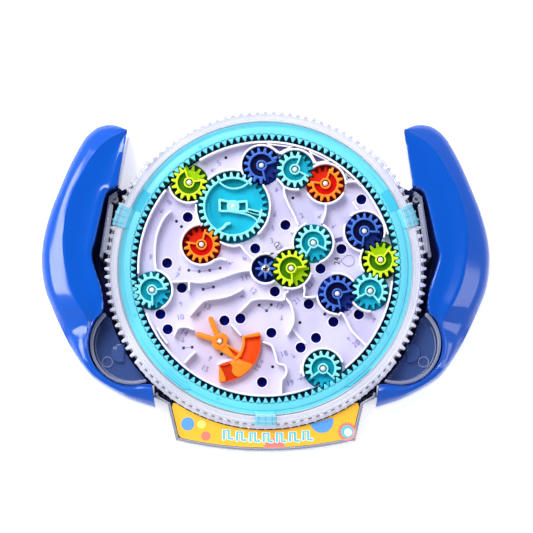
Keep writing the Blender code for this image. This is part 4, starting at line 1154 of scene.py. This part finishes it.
def grip_sections(shape_at):
    """Sections of the grip along its length, smoothed between the stations."""
    rows = [tuple(v for point in station for v in point) for station in GRIP_STATIONS]
    rows = flowing(rows, 4)
    last = len(rows) - 1
    sections = []
    for i, row in enumerate(rows):
        outer, crease, inner = Vector(row[0:2]), Vector(row[2:4]), Vector(row[4:6])
        sections.append([Vector((p.x * MM, p.y * MM, z * MM))
                         for p, z in shape_at(outer, crease, inner, i / last)])
    return sections


def front_section(outer, crease, inner, share):
    """Front half: a flat flank outside the crease that rolls over to the palm, then a dished face."""
    tail = min(max((share - 0.60) / 0.14, 0.0), 1.0)
    top = 35.9 - 4.5 * tail
    edge = top - 1.3 * (1 - 0.6 * tail)
    foot = top - 0.56 * 0.6 * (outer - crease).length
    low = 18.15
    return [
        (outer, low), (outer, 22.0), (outer.lerp(crease, 0.02), 24.0),
            (outer.lerp(crease, 0.08), foot - 4.0),
        (outer.lerp(crease, 0.20), foot - 1.7), (outer.lerp(crease, 0.40), foot),
        (outer.lerp(crease, 0.70), (foot + top) / 2), (outer.lerp(crease, 0.96), top - 0.25), (crease, top),
        (crease.lerp(inner, 0.12), top - 0.15), (crease.lerp(inner, 0.35), edge + 0.25),
        (crease.lerp(inner, 0.62), edge), (crease.lerp(inner, 0.80), edge + 0.25),
        (crease.lerp(inner, 0.92), edge + 0.45), (crease.lerp(inner, 0.985), edge + 0.1),
            (inner, edge - 0.8),
        (inner, low),
    ]


def back_section(outer, _crease, inner, _share):
    """Back half: rounded at the palm side and flat where it rests."""
    high = 17.85
    return [
        (inner, high), (inner, 1.2), (inner.lerp(outer, 0.03), 0.3), (inner.lerp(outer, 0.08), 0.0),
        (inner.lerp(outer, 0.5), 0.0), (inner.lerp(outer, 0.70), 0.15), (inner.lerp(outer, 0.86), 1.6),
        (inner.lerp(outer, 0.96), 4.6), (outer, 9.0), (outer, high),
    ]


def grips():
    """Both grips in front and back halves, with a screw sunk in each front."""
    for right in (False, True):
        side = "right" if right else "left"
        for half, shape_at in (("front", front_section), ("back", back_section)):
            mesh = moved(lofted(grip_sections(shape_at)), mirror=right)
            node = side + "_handle_" + half
            assemble(node + "_shell", "case", [(mesh, BLUE_GRIP)], (node,), sharp=32)
        x = 107.6 * MM if right else -107.6 * MM
        node = "handle_screw_" + side
        screw_head(node + "_detail", "case", (x, -1.3 * MM), 34.6 * MM, 35.7 * MM, 1.7 * MM, (node,),
                   30 * MM)


def case_screws():
    """Four pan-head screws in the back of the case."""
    for side, sign in (("left", -1), ("right", 1)):
        for where, (x, y) in (("top", (82.2, 37.8)), ("bottom", (47.2, -87.0))):
            node = "case_screw_" + side + "_" + where
            screw_head(node + "_detail", "case", (sign * x * MM, y * MM), 0.3 * MM, 1.2 * MM, 2.0 * MM,
                       (node,),
                       16 * MM, facing=-1)


# ---------------------------------------------------------------- lever and ball

def swing_lever():
    """Swinging scoop: two fork arms, a hub and a curved two-part tray, with painted shade inside the tray,
    the slot and the low lips.
    """
    pivot = (-24.9 * MM, -39.7 * MM)
    low, high = 16.2 * MM, 22.3 * MM
    origin = (0, 0)
    fork = strip([polar(origin, 1.0 * MM, 112), polar(origin, 13.2 * MM, 112)], 2.9 * MM)
    prong = strip([polar(origin, 1.0 * MM, 162), polar(origin, 12.2 * MM, 162)], 2.8 * MM)
    hub = flowing(in_mm([(-3.6, 3.0), (0.2, 4.4), (2.6, 4.2), (4.2, 2.6), (4.0, -0.6), (2.4, -3.6),
                         (-0.4, -4.7),
                         (-2.6, -4.2), (-4.2, -1.6), (-3.6, 3.0)]), 3)[:-1]
    rib = in_mm([(2.2, -0.4), (12.4, -6.6), (11.6, -8.4), (8.0, -9.8), (-0.8, -4.4)])
    slot = in_mm([(4.2, -2.9), (10.0, -6.6), (9.4, -7.9), (8.2, -8.4)])
    tray = sector(13.2 * MM, 22.4 * MM, -90, 13, 30)
    inner_lip = sector(12.4 * MM, 13.8 * MM, -52, 12, 20)
    top_lip = sector(13.0 * MM, 22.3 * MM, 7.5, 13, 6)
    outer_lip = sector(21.9 * MM, 22.4 * MM, -84, 10, 30)
    bridge = flowing([polar(origin, r * MM, a) for r, a in (
        (12.4, -44), (17.0, -40), (22.2, -36), (22.3, -58), (20.6, -66), (17.6, -68), (15.6, -64),
                                                            (12.6, -66))], 3)
    corner = sector(13.0 * MM, 22.2 * MM, -89, -60, 12)
    lobe = flowing([polar(origin, r * MM, a) for r, a in (
        (12.8, -91), (17.5, -83), (21.6, -81), (22.2, -86), (21.8, -91), (17.0, -92))], 3)
    low_lip = sector(12.4 * MM, 13.4 * MM, -88, -62, 8)
    parts = [
        (prism([fork], low, high, 0.5 * MM), LEVER_ORANGE),
        (prism([prong], low, high, 0.5 * MM), LEVER_ORANGE),
        (prism([hub, circle(origin, 1.95 * MM, 24)], low, high + 0.1 * MM, 0.4 * MM), LEVER_ORANGE),
        (prism([rib, slot], low, high - 0.4 * MM, 0.25 * MM), LEVER_ORANGE),
        # Painted shade in the slot, the tray and its corner.
        (prism([slot], low, 18.5 * MM), LEVER_SHADED_ORANGE),
        (prism([tray], low, 18.6 * MM, 0.3 * MM), LEVER_SHADED_ORANGE),
        (prism([corner], low, 18.7 * MM), LEVER_DARK_SHADE),
        (prism([inner_lip], low, high, 0.3 * MM), LEVER_ORANGE),
        (prism([top_lip], low, high, 0.4 * MM), LEVER_ORANGE),
        (prism([outer_lip], low, 20.6 * MM, 0.12 * MM), LEVER_SHADED_ORANGE),
        (prism([bridge], low, 21.8 * MM, 0.5 * MM), LEVER_ORANGE),
        (prism([lobe], low, high, 0.6 * MM), LEVER_ORANGE),
        (prism([low_lip], low, 20.2 * MM, 0.2 * MM), LEVER_SHADED_ORANGE),
    ]
    for mesh, _finish in parts:
        moved(mesh, pivot)
    return assemble("swing_lever_detail", "swing_lever", parts, ("swing_lever",))


def steel_ball():
    shape = bmesh.new()
    bmesh.ops.create_icosphere(shape, subdivisions=4, radius=2.0 * MM)
    bmesh.ops.translate(shape, verts=shape.verts, vec=(6.7 * MM, 13.2 * MM, 17.8 * MM))
    return assemble("steel_ball_polished", "steel_ball", [(cleaned(shape), STEEL)],
                    ("steel_ball",), 180)


def carried_over():
    """Give the CAD pieces that stay as they are a proper finish."""
    node = frame["nodes"]["drive_disc"]
    node.data.materials.clear()
    node.data.materials.append(DEEP_NAVY)


# ---------------------------------------------------------------- studio

def floor_material():
    material = plastic("studio_floor", srgb(252, 252, 253), 0.6, 0.02, 3.0, 0.01)
    shader = material.node_tree.nodes["Principled BSDF"]
    shader.inputs["Emission Color"].default_value = (1.0, 1.0, 1.0, 1.0)
    shader.inputs["Emission Strength"].default_value = 0.6
    return material


def area_light(name, place, target, size, power, colour=(1.0, 1.0, 1.0)):
    data = bpy.data.lights.new(name, "AREA")
    data.shape = "RECTANGLE"
    data.size, data.size_y = size
    data.energy = power
    data.color = colour
    light = bpy.data.objects.new(name, data)
    light.location = place
    light.rotation_euler = (Vector(target) - Vector(place)).to_track_quat("-Z", "Y").to_euler()
    bpy.context.scene.collection.objects.link(light)


def studio():
    """Pale floor, soft overhead light, a strip that draws the highlight on the left grip and a soft fill
    from the right.
    """
    shape = bmesh.new()
    bmesh.ops.create_grid(shape, x_segments=4, y_segments=4, size=4.0)
    mesh = bpy.data.meshes.new("studio_floor")
    shape.to_mesh(mesh)
    shape.free()
    mesh.transform(Matrix.Translation((0, 0, -0.3 * MM)))
    mesh.materials.append(floor_material())
    floor = bpy.data.objects.new("studio_floor", mesh)
    bpy.context.scene.collection.objects.link(floor)

    world = bpy.data.worlds.new("soft_white")
    world.use_nodes = True
    tree = world.node_tree
    place = tree.nodes.new("ShaderNodeTexCoord")
    split = tree.nodes.new("ShaderNodeSeparateXYZ")
    strength = tree.nodes.new("ShaderNodeMapRange")
    strength.inputs["To Min"].default_value = 1.05
    strength.inputs["To Max"].default_value = 0.16
    tree.links.new(place.outputs["Generated"], split.inputs["Vector"])
    tree.links.new(split.outputs["Z"], strength.inputs["Value"])
    tree.links.new(strength.outputs["Result"], tree.nodes["Background"].inputs["Strength"])
    tree.nodes["Background"].inputs["Color"].default_value = (0.95, 0.97, 1.0, 1.0)
    bpy.context.scene.world = world
    bpy.context.scene.view_settings.view_transform = "Standard"
    area_light("overhead", (-0.5, 0.75, 1.5), (0, 0, 0), (0.8, 0.8), 27)
    area_light("left_strip", (-0.873, 0.19, 0.48), (-0.11, 0.03, 0.03), (1.0, 0.17), 6)
    area_light("right_fill", (1.0, -0.3, 0.7), (0.1, 0.0, 0.03), (0.5, 0.5), 3)


def camera():
    """Long lens nearly square on to the window, a little from below the label."""
    data = bpy.data.cameras.new("camera")
    distance, width = 2.5, 290.7 * MM
    data.sensor_width = 36.0
    data.lens = data.sensor_width * distance / width
    data.clip_end = 20.0
    view = bpy.data.objects.new("camera", data)
    tilt = math.radians(85.5)
    target = Vector((0.55 * MM, 1.1 * MM, 22 * MM))
    back = Vector((0, -math.cos(tilt), math.sin(tilt)))
    view.location = target + back * distance
    view.rotation_euler = (-back).to_track_quat("-Z", "Y").to_euler()
    bpy.context.scene.collection.objects.link(view)
    bpy.context.scene.camera = view


def main():
    centres = gear_centres()
    phases = gear_phases(centres)
    camera()
    studio()
    for name, _driver, teeth, notch, finish in GEARS:
        build = labyrinth_gear if teeth == 30 else small_gear
        build(name, centres[name], phases[name], notch, GEAR_FINISHES[finish])
    centre_pinion(GEAR_FINISHES["navy"])
    ring_gear()
    thumb_ring()
    maze_plate(centres)
    front_cover()
    rear_case()
    label()
    thumb_well("left", False)
    thumb_well("right", True)
    grips()
    case_screws()
    swing_lever()
    steel_ball()
    carried_over()


main()
